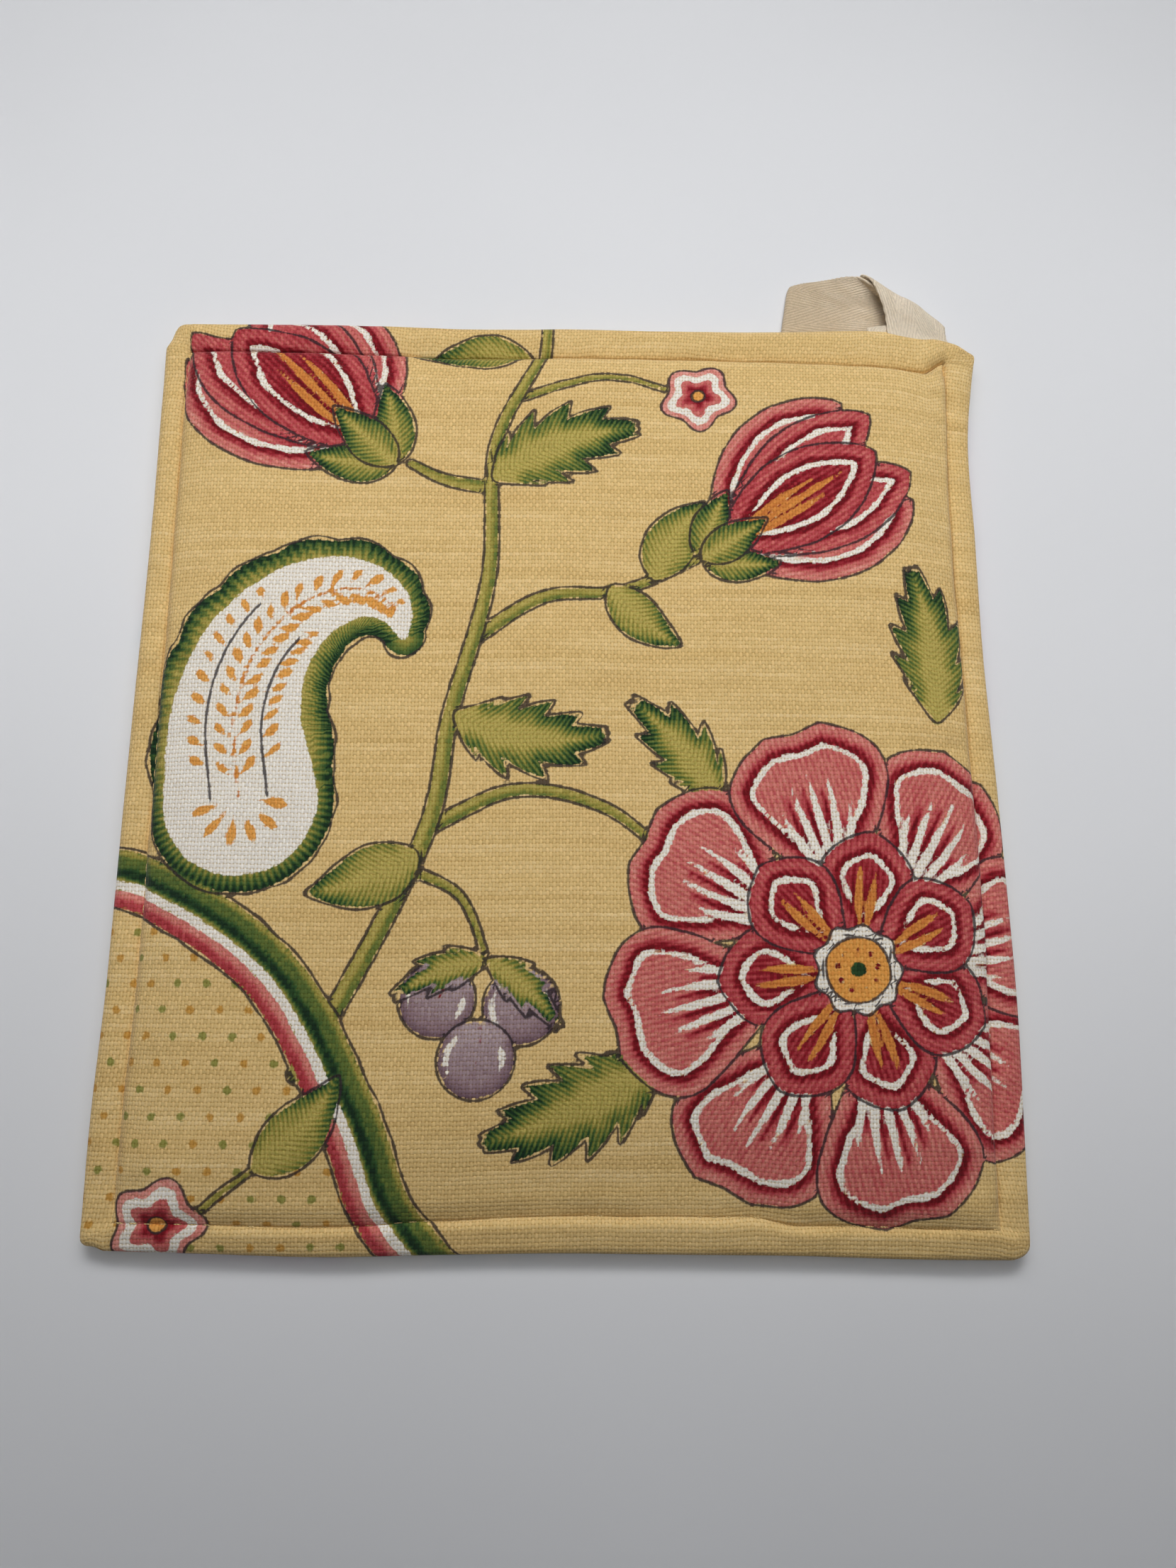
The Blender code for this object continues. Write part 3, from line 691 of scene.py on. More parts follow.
def make_loop(finish):
    """A closed ribbon, thinner at its selvages. Returns its length and width as well."""
    middle = tape_middle()
    normal = tape_normals(middle)
    rows, columns = middle.shape[:2]
    v = np.linspace(-1.0, 1.0, columns)[None, :]
    steps = np.linalg.norm(np.diff(middle[:, columns // 2], axis=0), axis=1)
    length = np.concatenate([[0.0], np.cumsum(steps)])[:, None]
    # Its rows cross the fold at a slant, so its width is its area over its length.
    down, over = np.diff(middle, axis=0)[:, :-1], np.diff(middle, axis=1)[:-1]
    width = np.linalg.norm(np.cross(down, over), axis=2).sum() / length[-1, 0]
    # The weft's turns make the selvages beaded, and scallop the left one.
    turns = np.sin(length * 2 * math.pi / SCALLOP_PITCH)
    at_edge = np.clip((-SCALLOP_START - v) / (1.0 - SCALLOP_START), 0.0, 1.0)
    middle += (SCALLOP * turns * at_edge)[..., None] * unit(middle[:, -1] - middle[:, 0])[:, None]
    half = TAPE_THICKNESS / 2 * np.sqrt(1.0 - SELVAGE_THINNING * np.abs(v) ** SELVAGE_SHARPNESS)
    half = half * np.where(np.abs(v) > BEADING_START, 1.0 + BEADING * turns, 1.0)
    points = np.stack([middle + normal * half[..., None], middle - normal * half[..., None]])
    one = np.arange(rows * columns).reshape(rows, columns)
    faces = quads(one) + [[a, d, c, b] for a, b, c, d in quads(one + one.size)]
    here = np.concatenate([one[:-1, 0], one[-1, :-1], one[:0:-1, -1], one[0, :0:-1]])
    there = np.roll(here, -1)
    faces += np.stack([there, here, here + one.size, there + one.size], axis=-1).tolist()
    loop = add_mesh("tape_loop", points.reshape(-1, 3) * MM, faces, finish)
    across = v * np.linalg.norm(middle[:, -1] - middle[:, 0], axis=1)[:, None] / 2
    place = np.dstack(np.broadcast_arrays(length, across, np.abs(v))).reshape(-1, 3)
    add_vector(loop.data, "tape", place[corner_vertices(loop.data) % one.size])
    return loop, length[-1, 0] * MM, width * MM


# ---- The printed design: painted shape by shape on a field of points ---------------------------

INKS = ("rose", "white", "green", "ochre", "mauve")
FAR_AWAY = 6.0
TONE_REACH = 1.6
INK_OVERLAP = 0.3


class Blade:
    """A petal or leaf: an arc for a midrib, and a half-width that swells and closes along it."""

    def __init__(self, x, y, heading, length, width, bend=0.0, fullest=0.5, blunt=1.0, teeth=0,
                 notch=0.0):
        count = 18 * teeth if teeth else 48
        self.t, self.length = np.linspace(0.0, 1.0, count), length
        middle = np.radians(heading + bend * (self.t[:-1] + self.t[1:]) / 2)
        steps = np.column_stack([np.cos(middle), np.sin(middle)]) * (length / (count - 1))
        self.rib = np.concatenate([[(0.0, 0.0)], np.cumsum(steps, axis=0)]) + (x, y)
        angle = np.radians(heading + bend * self.t)
        self.tangent = np.column_stack([np.cos(angle), np.sin(angle)])
        self.normal = np.column_stack([-np.sin(angle), np.cos(angle)])
        warp = math.log(0.5) / math.log(fullest)
        profile = np.sin(math.pi * self.t**warp).clip(0.0) ** blunt
        self.half = width / 2 * profile
        edge, lean = self.half, 0.0
        if teeth:
            # Each lobe swells towards its tip, which leans forwards over the next one's root.
            lobe = (self.t * teeth + 0.15) % 1.0
            edge = self.half * (0.60 + 0.48 * lobe**1.3)
            lean = (0.42 * length / teeth * lobe**3 * (profile > 0.15))[:, None]
        left, right = (
            self.rib + hand * edge[:, None] * self.normal + lean * self.tangent for hand in (1, -1)
        )
        if notch:
            tip = self.rib[-1] - notch * self.tangent[-1]
            self.outline = np.concatenate([left[:-2], [tip], right[:-2][::-1]])
        else:
            self.outline = np.concatenate([left, right[1:-1][::-1]])

    def line(self, share, start, end):
        """A line at that share of the half-width, between those shares of the blade's length."""
        keep = (self.t >= start) & (self.t <= end)
        return (self.rib + (share * self.half)[:, None] * self.normal)[keep]

    def locate(self, points):
        """How far along the midrib each point is, as a share, and how far to its left."""
        away = np.linalg.norm(points[:, None] - self.rib[None], axis=2)
        nearest = away.argmin(axis=1)
        offset = points - self.rib[nearest]
        ahead = np.sum(offset * self.tangent[nearest], axis=1)
        across = np.sum(offset * self.normal[nearest], axis=1)
        return self.t[nearest] + ahead / self.length, across


def polar(x, y, radius, degrees):
    a = math.radians(degrees)
    return x + radius * math.cos(a), y + radius * math.sin(a)


def round_shape(x, y, radius, lobes=0, depth=0.0, turn=0.0, count=72):
    a = np.linspace(0.0, 2 * math.pi, count, endpoint=False)
    r = radius * (1.0 + depth * np.cos(lobes * a + math.radians(turn)))
    return np.column_stack([x + r * np.cos(a), y + r * np.sin(a)])


def beside(path, distance):
    """The path moved sideways to its left by a distance, which may differ along it."""
    tangent = unit(np.gradient(path, axis=0))
    normal = np.column_stack([-tangent[:, 1], tangent[:, 0]])
    return path + np.asarray(distance).reshape(-1, 1) * normal


def from_segment(x, y, ax, ay, bx, by):
    """How far along a segment each point's nearest place lies, as a share, and how far off."""
    ex, ey = bx - ax, by - ay
    t = np.clip(((x - ax) * ex + (y - ay) * ey) / max(ex * ex + ey * ey, 1e-12), 0.0, 1.0)
    return t, np.hypot(x - ax - t * ex, y - ay - t * ey)


class Print:
    """Distances to each ink's area, negative inside, and each ink's tone from light to deep."""

    def __init__(self, points):
        self.points = points
        count = len(points)
        self.area = {ink: np.full(count, FAR_AWAY) for ink in (*INKS, "dots")}
        self.tone = {ink: np.full(count, 0.5) for ink in INKS}
        self.edge = np.full(count, FAR_AWAY)  # signed distance to the nearest drawn line
        self.grain = np.zeros(count)  # a count of the fine strokes that shade leaves and petals
        # A slow wobble, so that drawn edges and lines aren't perfectly even.
        x, y = points.T
        self.wobble = 0.22 * np.sin(x * 0.61 + 1.3 * np.sin(y * 0.37))
        self.wobble += 0.20 * np.sin(y * 0.83 + x * 0.29 + 2.0)

    def near(self, shape, reach):
        low, high = shape.min(0) - reach, shape.max(0) + reach
        return np.flatnonzero(np.all((self.points >= low) & (self.points <= high), axis=1))

    def outline_distance(self, outline, wobble=0.5):
        where = self.near(outline, FAR_AWAY)
        x, y = self.points[where].T
        best, inside = np.full(len(x), 1e9), np.zeros(len(x), bool)
        for (ax, ay), (bx, by) in zip(outline, np.roll(outline, -1, axis=0)):
            best = np.minimum(best, from_segment(x, y, ax, ay, bx, by)[1])
            if ay != by:
                inside ^= ((y < ay) != (y < by)) & (x < ax + (y - ay) / (by - ay) * (bx - ax))
        return where, np.where(inside, -best, best) + self.wobble[where] * wobble

    def path_distance(self, path, half_width, reach=FAR_AWAY, signed=False):
        """The distance to a path of that half-width, or to a bare path's left or right side."""
        width = np.broadcast_to(np.asarray(half_width, float), (len(path),))
        where = self.near(path, reach + width.max())
        x, y = self.points[where].T
        best, side = np.full(len(x), 1e9), np.ones(len(x))
        for (ax, ay), (bx, by), wa, wb in zip(path, path[1:], width, width[1:]):
            t, away = from_segment(x, y, ax, ay, bx, by)
            away = away - (wa + t * (wb - wa))
            turn = np.where((bx - ax) * (y - ay) > (by - ay) * (x - ax), 1.0, -1.0)
            side = np.where(away < best, turn, side)
            best = np.minimum(best, away)
        return where, best * side if signed else best

    def paint(self, ink, where, distance, tone, grain=None):
        """Covers what lies beneath with one ink, inside the shape that the distances describe. The
        grain counts fine strokes, so that the shape's tones and edges run out in strokes."""
        own = self.area[ink][where]
        for area in self.area.values():
            area[where] = np.maximum(area[where], -distance - INK_OVERLAP)
        self.area[ink][where] = np.minimum(own, distance)
        if grain is not None:
            covered = distance < 0.5 * TONE_REACH
            self.grain[where[covered]] = grain[covered]
        # Within its own ink a shape's tone blends in over a thread. Elsewhere it spreads a little
        # past the shape, so that the tone is right all the way to the drawn edge.
        share = np.where(own < 0.0, np.clip(0.5 - distance / 0.9, 0.0, 1.0), distance < TONE_REACH)
        self.tone[ink][where] += (tone - self.tone[ink][where]) * share

    def outline(self, where, distance, offset=0.0):
        """Draws along a shape's edge, or that far outside it, over any outline that it covers."""
        edge = distance - offset * (1.0 + 1.8 * self.wobble[where])
        nearer = (np.abs(edge) < np.abs(self.edge[where])) | (edge < 0.0)
        self.edge[where[nearer]] = edge[nearer]

    def pen(self, path):
        """Draws a line along a path, over whatever is there."""
        where, distance = self.path_distance(path, 0.0, reach=1.6, signed=True)
        nearer = np.abs(distance) < np.abs(self.edge[where])
        self.edge[where[nearer]] = distance[nearer]

    def shape(self, outline, ink, tone, outlined=False):
        where, distance = self.outline_distance(outline)
        self.paint(ink, where, distance, tone)
        if outlined:
            self.outline(where, distance)

    def stroke(self, path, half_width, ink, tone, offset=None):
        where, distance = self.path_distance(path, half_width)
        distance = distance + self.wobble[where] * 0.3
        self.paint(ink, where, distance, tone)
        if offset is not None:
            self.outline(where, distance, offset)

    def channels(self):
        """The field as the sets of three numbers that the cloth's material reads."""
        areas, tone = list(self.area.values()), self.tone
        sets = {
            "weave": (*self.points.T, self.grain),
            "ink_a": areas[:3],
            "ink_b": areas[3:],
            "tone_a": (tone["rose"], tone["green"], tone["ochre"]),
            "pen": (self.edge, np.abs(self.edge), tone["mauve"]),
        }
        return {name: np.column_stack(parts) for name, parts in sets.items()}


# ---- The motifs of a generic flower and leaf print ---------------------------------------------


def leaf(p, x, y, heading, length, width, bend=0.0, tone=0.12, teeth=0):
    """A leaf, olive at its base and rib and nearly black green at its tip and at its rim, combed
    with fine strokes that run from the rib to the edge."""
    blade = Blade(x, y, heading, length, width, bend, fullest=0.40, blunt=0.9, teeth=teeth)
    where, distance = p.outline_distance(blade.outline, wobble=0.4)
    along, across = blade.locate(p.points[where])
    towards_tip = np.clip((along - 0.30) / 0.6, 0.0, 1.0)
    at_rim = np.clip(1.0 + distance / (0.20 * width), 0.0, 1.0) * (along > 0.12)
    deep = tone + 0.55 * towards_tip**1.4 + (0.50 if teeth else 0.35) * at_rim
    strokes = (along * length - 0.8 * np.abs(across)) / STROKE_PITCH
    tones = np.clip(deep - 0.35 * bell(across, 0.13 * width), 0.0, 1.0)
    p.paint("green", where, distance, tones, strokes)
    rib = blade.line(0.0, 0.0, 0.82)
    p.stroke(rib, np.linspace(0.45 + 0.035 * width, 0.35, len(rib)), "green", 0.0)
    if width > 10:
        p.pen(blade.line(0.0, 0.12, 0.62))
    p.outline(where, distance, 0.42)


def vine(p, knots, half_width):
    path = through_points(knots, np.linspace(0.0, 1.0, 90))
    width = np.linspace(half_width, half_width * 0.55, len(path))
    p.stroke(path, width, "green", 0.5, offset=0.25)
    p.stroke(beside(path, width * 0.4), width * 0.45, "green", 0.06)


def petal(p, x, y, heading, length, width, bend=0.0, outer=0.30, inner=0.42, notch=0.0,
          fullest=0.66, streaks=(-0.72, -0.36, 0.0, 0.36, 0.72), streak="white"):
    """A petal: a paler margin that deepens inwards to a dark line, a pale line inside that, and
    within it tapering streaks that follow the petal."""
    blade = Blade(x, y, heading, length, width, bend, fullest=fullest, blunt=0.72, notch=notch)
    where, distance = p.outline_distance(blade.outline)
    size = min(1.0, width / 22)
    along, across = blade.locate(p.points[where])
    depth = -distance / size
    margin = np.interp(depth, (0.0, 1.0, 2.7, 3.3, 4.6), (outer + 0.12, outer, 0.55, 0.93, 1.0))
    middle = inner + 0.38 * np.clip(1.0 - along / 0.55, 0.0, 1.0)
    tones = np.where(depth < 4.9, margin, middle)
    p.paint("rose", where, distance, tones, across / STROKE_PITCH)
    pale_line = np.abs(distance + 5.1 * size) - 0.625 * size**0.4 + 0.4 * p.wobble[where]
    within = distance < 0.0
    p.paint("white", where[within], pale_line[within], 0.9)
    reach = (1.0 - 11.5 * size / width) * 0.95
    for k, share in enumerate(streaks):
        start, end = 0.16 + 0.04 * (k % 2), 0.80 - 0.24 * abs(share) - 0.05 * ((k + 1) % 2)
        for path, thin, thick, ink, tone in (
            (blade.line(share * reach + 0.11, start, end - 0.06), 0.2, 0.75, "rose", 0.96),
            (blade.line(share * reach, start, end), 0.1, 0.85, streak, 0.8),
        ):
            swell = np.sin(np.linspace(0.25, math.pi * 0.97, len(path)))
            p.stroke(path, thin + thick * size * swell, ink, tone)
    p.outline(where, distance, 0.15)


def ring_of_petals(p, x, y, count, start, length, width, turn, **style):
    """Petals round a centre, the odd ones beneath the even ones."""
    for k in sorted(range(count), key=lambda k: (k % 2 == 0 and k != count - 1, k)):
        heading = turn + 360.0 * k / count
        petal(p, *polar(x, y, start, heading), heading, length, width, **style)


def disc(p, x, y, radius, ink, tone, outlined=False, **form):
    p.shape(round_shape(x, y, radius, **form), ink, tone, outlined)


def rosette(p, x, y, radius, turn):
    """A big open flower: a ring of outer petals, a ring of inner ones and a dotted eye."""
    ring_of_petals(p, x, y, 8, 0.16 * radius, 0.84 * radius, 0.64 * radius, turn,
                   notch=0.05 * radius, fullest=0.70, bend=8.0)
    ring_of_petals(p, x, y, 7, 0.06 * radius, 0.48 * radius, 0.37 * radius, turn + 20, outer=0.62,
                   inner=0.78, fullest=0.62, streaks=(-0.35, 0.35), streak="ochre")
    disc(p, x, y, 0.165 * radius, "white", 0.8, True, lobes=9, depth=0.07)
    disc(p, x, y, 0.125 * radius, "ochre", 0.5, True)
    for k in range(9):
        disc(p, *polar(x, y, 0.078 * radius, turn + 40 * k), 0.95, "rose", 1.0, count=12)
    disc(p, x, y, 0.036 * radius, "green", 0.9, count=16)


def tulip(p, x, y, heading, length, spread=34.0):
    """A cup of petals seen from the side, with a green calyx."""
    for hand in (-1, 1):
        petal(p, x, y, heading + hand * spread, length, 0.42 * length, bend=-hand * 34.0,
              fullest=0.58, streaks=(-0.4, 0.3))
        petal(p, x, y, heading + hand * 0.45 * spread, 1.04 * length, 0.38 * length, outer=0.5,
              inner=0.6, bend=-hand * 12.0, fullest=0.60, streaks=(0.0,))
    petal(p, x, y, heading, 0.94 * length, 0.44 * length, outer=0.62, inner=0.82,
          fullest=0.55, streaks=(-0.45, 0.0, 0.45), streak="ochre")
    for hand in (-1, 1, 0):
        leaf(p, *polar(x, y, -3.0, heading), heading + hand * 48, 0.36 * length, 0.16 * length,
             bend=-hand * 24.0, tone=0.35)


def blossom(p, x, y, radius, turn):
    """A small open flower with five round petals."""
    rings = ((1.0, 0.13, "rose", 0.22), (0.80, 0.15, "white", 0.8), (0.60, 0.18, "rose", 0.45),
             (0.36, 0.22, "rose", 0.9))
    for share, depth, ink, tone in rings:
        disc(p, x, y, share * radius, ink, tone, share == 1.0, lobes=5, depth=depth, turn=turn)
    disc(p, x, y, 0.20 * radius, "ochre", 0.45, True, count=20)


def plum(p, x, y, radius, heading):
    """A round mauve fruit with a groove, a deep shade below it and pale lights on its shoulders."""
    where, distance = p.outline_distance(round_shape(x, y, radius, lobes=1, depth=0.05))
    rim = np.clip(1.0 + distance / (0.45 * radius), 0.0, 1.0)
    below = (p.points[where] - (x, y)) @ polar(0.0, 0.0, 1.0, heading) / radius
    tones = np.clip(0.30 + 0.55 * rim**2 * (below > -0.6) + 0.2 * below, 0.0, 1.0)
    p.paint("mauve", where, distance, tones, below * radius / STROKE_PITCH)
    start = polar(x, y, 0.9 * radius, heading + 180)
    groove = Blade(*start, heading + 14, 1.5 * radius, 0.0, bend=-30.0).line(0.0, 0.0, 0.9)
    p.stroke(groove, np.linspace(0.8, 0.2, len(groove)), "rose", 0.95)
    for hand, begin, finish in ((-1, 44, 150), (1, 70, 128)):
        arc = np.radians(np.linspace(heading + hand * begin, heading + hand * finish, 24))
        path = np.column_stack([x + 0.74 * radius * np.cos(arc), y + 0.74 * radius * np.sin(arc)])
        p.stroke(path, np.sin(np.linspace(0.3, 2.9, 24)), "white", 0.9)
    p.outline(where, distance, 0.35)


def plums(p, x, y, heading, radius):
    """Three plums that hang together below two leaves."""
    for turn, reach in ((-46, 1.7), (44, 1.5), (2, 2.6)):
        plum(p, *polar(x, y, reach * radius, heading + turn), radius, heading + 0.4 * turn)
    for turn in (-78, 70):
        leaf(p, x, y, heading + turn, 2.5 * radius, 1.1 * radius, bend=-0.4 * turn, teeth=3)


def spray(p, x, y, away, side, turn, length, width, bend=0.0):
    """One of the small leaves that fill a paisley."""
    blade = Blade(*polar(x, y, away, side), turn, length, width, bend, fullest=0.62)
    p.shape(blade.outline, "ochre", 0.45)


def paisley(p, knots, fullest):
    """A white drop with a curled tip, a lobed green border, and pairs of ochre leaves inside."""
    t = np.linspace(0.0, 1.0, 100)
    path = through_points(knots, t)
    width = 0.9 + fullest * (1.0 - t) ** 0.85
    lobe = (t * 9.0) % 1.0
    border = 3.4 * (1.0 - 0.45 * t) + 3.4 * lobe**1.5 * (1.0 - 0.5 * t)
    where, distance = p.path_distance(path, width + border)
    nearest = np.linalg.norm(p.points[where][:, None] - path[None], axis=2).argmin(axis=1)
    offset = p.points[where] - path[nearest]
    round_end = np.arctan2(offset[:, 1], offset[:, 0]) * fullest
    steps = np.linalg.norm(np.diff(path, axis=0), axis=1)
    strokes = np.where(nearest == 0, round_end, t[nearest] * steps.sum()) / STROKE_PITCH
    rim = 0.10 + np.clip(1.0 + distance / 6.5, 0.0, 1.0) ** 1.5
    p.paint("green", where, distance + 0.5 * p.wobble[where], np.clip(rim, 0.0, 1.0), strokes)
    p.outline(where, distance, 0.45)
    p.stroke(path, width, "white", 0.95)
    inside = path[: int(0.86 * len(path))]
    angle = np.degrees(np.arctan2(*np.gradient(inside, axis=0).T[::-1]))
    p.stroke(inside, 0.3, "ochre", 0.8)
    since = 0.0
    for k in range(1, len(inside)):
        since += steps[k - 1]
        room = width[k] - 1.8
        if since < 3.4 or room < 2.0:
            continue
        since = 0.0
        pair = [(0.9, 52, 52, min(room * 0.95, 5.4), 1.9)]
        if room > 9.5:
            pair.append((7.2, 58, 66, min(room * 1.1 - 7.2, 5.4), 1.8))
        for hand in (-1, 1):
            for away, side, turn, length, wide in pair:
                spray(p, *inside[k], away, angle[k] + hand * side, angle[k] + hand * turn, length,
                      wide, -hand * 18.0)
    for spread in range(-75, 76, 30):
        turn = angle[0] + 180 + spread
        spray(p, *path[0], 4.4, turn, turn, min(fullest - 6.4, 7.0), 2.3)
    for hand in (-1, 1):
        p.pen(beside(inside[: len(inside) // 2], hand * 6.3))


def ribbon(p, knots):
    """A wavy ribbon in bands of green, white and rose, with a dotted ground below it."""
    path = through_points(knots, np.linspace(0.0, 1.0, 110))
    corner = np.array([[path[-1][0], -160.0], [-160.0, -160.0], [-160.0, path[0][1]]])
    where, distance = p.outline_distance(np.concatenate([path, corner]), wobble=0.0)
    p.area["dots"][where] = np.clip(distance, -FAR_AWAY, FAR_AWAY)
    p.stroke(path, 6.4, "green", 0.12, offset=0.5)
    for left, half_width, ink, tone in (
        (3.4, 1.9, "green", 0.62), (1.2, 1.1, "green", 1.0), (-1.5, 1.3, "white", 0.9),
        (-4.4, 2.1, "rose", 0.70), (-3.3, 1.0, "rose", 0.30),
    ):
        p.stroke(beside(path, left), half_width, ink, tone)


def design(p):
    """The whole layout, from what lies beneath to what lies on top."""
    vine(p, [(-31, -18), (-12, -10), (8, -14), (24, -26)], 1.6)
    vine(p, [(-22, 26), (-6, 36), (12, 38), (30, 46)], 1.6)
    vine(p, [(-20, 64), (-30, 66), (-38, 70)], 1.6)
    vine(p, [(-12, 88), (8, 94), (27, 90)], 1.0)
    vine(p, [(-35, -28), (-24, -34), (-18, -48)], 1.1)
    vine(p, [(-58, -72), (-33, -22), (-27, 8), (-19, 40), (-18, 74), (-8, 102), (-8, 125)], 2.0)
    ribbon(p, [(-125, -28), (-95, -32), (-66, -50), (-47, -80), (-37, -104), (-16, -128)])

    paisley(p, [(-74, -12), (-76, 6), (-72, 22), (-62, 34), (-50, 38), (-41, 34), (-38, 26)], 17.0)

    leaf(p, -34, -24, 214, 26, 13, -26)
    leaf(p, -26, 8, -30, 36, 19, 44, teeth=5)
    leaf(p, -18, 66, 40, 38, 20, -36, teeth=5)
    leaf(p, -10, 104, 172, 30, 15, 30)
    leaf(p, 10, 39, -58, 22, 10, 34)
    leaf(p, 20, 41, 74, 24, 12, -34)
    leaf(p, 20, -70, 214, 42, 21, -20, teeth=6)
    leaf(p, 86, 8, 84, 38, 19, 26, teeth=5)
    leaf(p, 34, -12, 118, 30, 15, 24, teeth=4)

    rosette(p, 64, -50, 58, 10)
    tulip(p, 34, 48, 34, 52)
    tulip(p, -44, 72, 136, 60)

    plums(p, -18, -48, 262, 8.2)
    blossom(p, 31, 89, 8.5, 60)
    vine(p, [(-84, -108), (-74, -98), (-66, -92)], 0.9)
    leaf(p, -66, -92, 34, 26, 12, 30)
    blossom(p, -86, -104, 9.5, 0)


# ---- Materials ---------------------------------------------------------------------------------


def linear(red, green, blue):
    """A colour given as it looks on screen, from 0 to 255, as the shader's numbers."""
    parts = (value / 255 for value in (red, green, blue))
    return (*(p / 12.92 if p <= 0.04045 else ((p + 0.055) / 1.055) ** 2.4 for p in parts), 1.0)


def operator(operation, *fixed, clamp=False):
    """A method that applies an operation to a number of the material's."""

    def method(number, *others):
        return number.shader.math(operation, number, *others, *fixed, clamp=clamp)

    return method


class Number:
    """A number or colour that varies over the surface: one output of the material's nodes."""

    def __init__(self, shader, socket):
        self.shader, self.socket = shader, socket

    __add__ = __radd__ = operator("ADD")
    __sub__ = operator("SUBTRACT")
    __mul__ = __rmul__ = operator("MULTIPLY")
    __truediv__ = operator("DIVIDE")
    __pow__ = operator("POWER")
    sine = operator("SINE")
    floor = operator("FLOOR")
    fraction = operator("FRACT")
    odd = operator("FLOORED_MODULO", 2.0)
    size = operator("ABSOLUTE")
    limited = operator("MULTIPLY", 1.0, clamp=True)
    larger = operator("MAXIMUM")
    exceeds = operator("GREATER_THAN")

    def __rsub__(self, other):
        return self.shader.math("SUBTRACT", other, self)

    def step(self, low, high):
        """From 0 at the low value to 1 at the high one, smoothly."""
        ends = {"Value": self, "From Min": low, "From Max": high}
        return self.shader.node("MapRange", ends, "Result", interpolation_type="SMOOTHSTEP")


class Shader:
    """A material, and short ways to add nodes to it."""

    def __init__(self, name, finish):
        self.material = bpy.data.materials.new(name)
        self.material.use_nodes = True
        self.tree = self.material.node_tree
        self.principled = self.tree.nodes["Principled BSDF"]
        for socket, value in finish.items():
            self.principled.inputs[socket].default_value = value

    def feed(self, socket, value):
        if isinstance(value, Number):
            self.tree.links.new(value.socket, socket)
        else:
            socket.default_value = value

    def node(self, kind, inputs, output=0, **settings):
        """Adds a node, feeds its inputs and returns one of its outputs."""
        node = self.tree.nodes.new("ShaderNode" + kind)
        for name, value in settings.items():
            setattr(node, name, value)
        for socket, value in inputs.items():
            self.feed(node.inputs[socket], value)
        return Number(self, node.outputs[output])

    def math(self, operation, *values, clamp=False):
        return self.node("Math", dict(enumerate(values)), operation=operation, use_clamp=clamp)

    def parts(self, vector):
        node = self.node("SeparateXYZ", {0: vector}).socket.node
        return [Number(self, output) for output in node.outputs]

    def attribute(self, name):
        return self.parts(self.node("Attribute", {}, "Vector", attribute_name=name))

    def object_place(self):
        return self.parts(self.node("TexCoord", {}, "Object"))

    def place(self, x, y, z=0.0):
        return self.node("CombineXYZ", {0: x, 1: y, 2: z})

    def noise(self, x, y, z=0.0):
        """Smooth noise about zero, mostly within -0.5 to 0.5."""
        inputs = {"Scale": 1.0, "Detail": 2.0, "Vector": self.place(x, y, z)}
        return (self.node("TexNoise", inputs, "Fac") - 0.5) * 1.6

    def chance(self, x, y, z=0.0):
        """One random number from 0 to 1 for each whole x, y and z."""
        inputs = {"Vector": self.place(x, y, z)}
        return self.node("TexWhiteNoise", inputs, "Value", noise_dimensions="3D")

    def blend(self, share, under, over, kind="MIX"):
        inputs = {"Factor": share, 6: under, 7: over}
        return self.node("Mix", inputs, 2, data_type="RGBA", blend_type=kind, clamp_factor=True)

    def shade(self, colour, value):
        """The colour multiplied by a number."""
        return self.blend(1.0, colour, self.place(value, value, value), "MULTIPLY")

    def ramp(self, share, stops):
        made = self.node("ValToRGB", {"Fac": share}, "Color")
        elements = made.socket.node.color_ramp.elements
        while len(elements) < len(stops):
            elements.new(0.5)
        for element, (position, colour) in zip(elements, stops):
            element.position = position
            element.color = linear(*colour)
        return made

    def bump(self, height, distance):
        inputs = {"Strength": 1.0, "Distance": distance, "Height": height}
        self.feed(self.principled.inputs["Normal"], self.node("Bump", inputs, "Normal"))

    def colour(self, value):
        self.feed(self.principled.inputs["Base Color"], value)


def plain_weave(shader, u, v):
    """The threads of a plain weave: the height of the upper one, each thread's number, and which
    way the upper one runs."""
    wander = shader.noise(u * 0.15, v * 0.15, 3.0)
    jostle = shader.noise(u * 0.45, v * 0.45, 8.0)
    a = u / WARP_PITCH + 0.20 * wander + 0.26 * jostle
    b = v / WEFT_PITCH - 0.20 * wander + 0.30 * jostle
    column, row = a.floor(), b.floor()
    over = 1.0 - 2.0 * (column + row).odd()
    warp, weft = (a * math.pi).sine().size(), (b * math.pi).sine().size()
    slub = shader.noise(u * 0.05, row * 0.77, 3.0)
    warp_height = warp**0.75 * (0.54 + 0.46 * (weft * over))
    weft_height = weft**0.65 * (0.60 - 0.30 * (warp * over)) * (1.0 + 0.30 * slub)
    fuzz = shader.noise(u * 2.6, v * 2.6, 1.0)
    height = warp_height.larger(weft_height) + 0.42 * fuzz
    on_weft = weft_height.exceeds(warp_height)
    return height, column, row, on_weft, slub


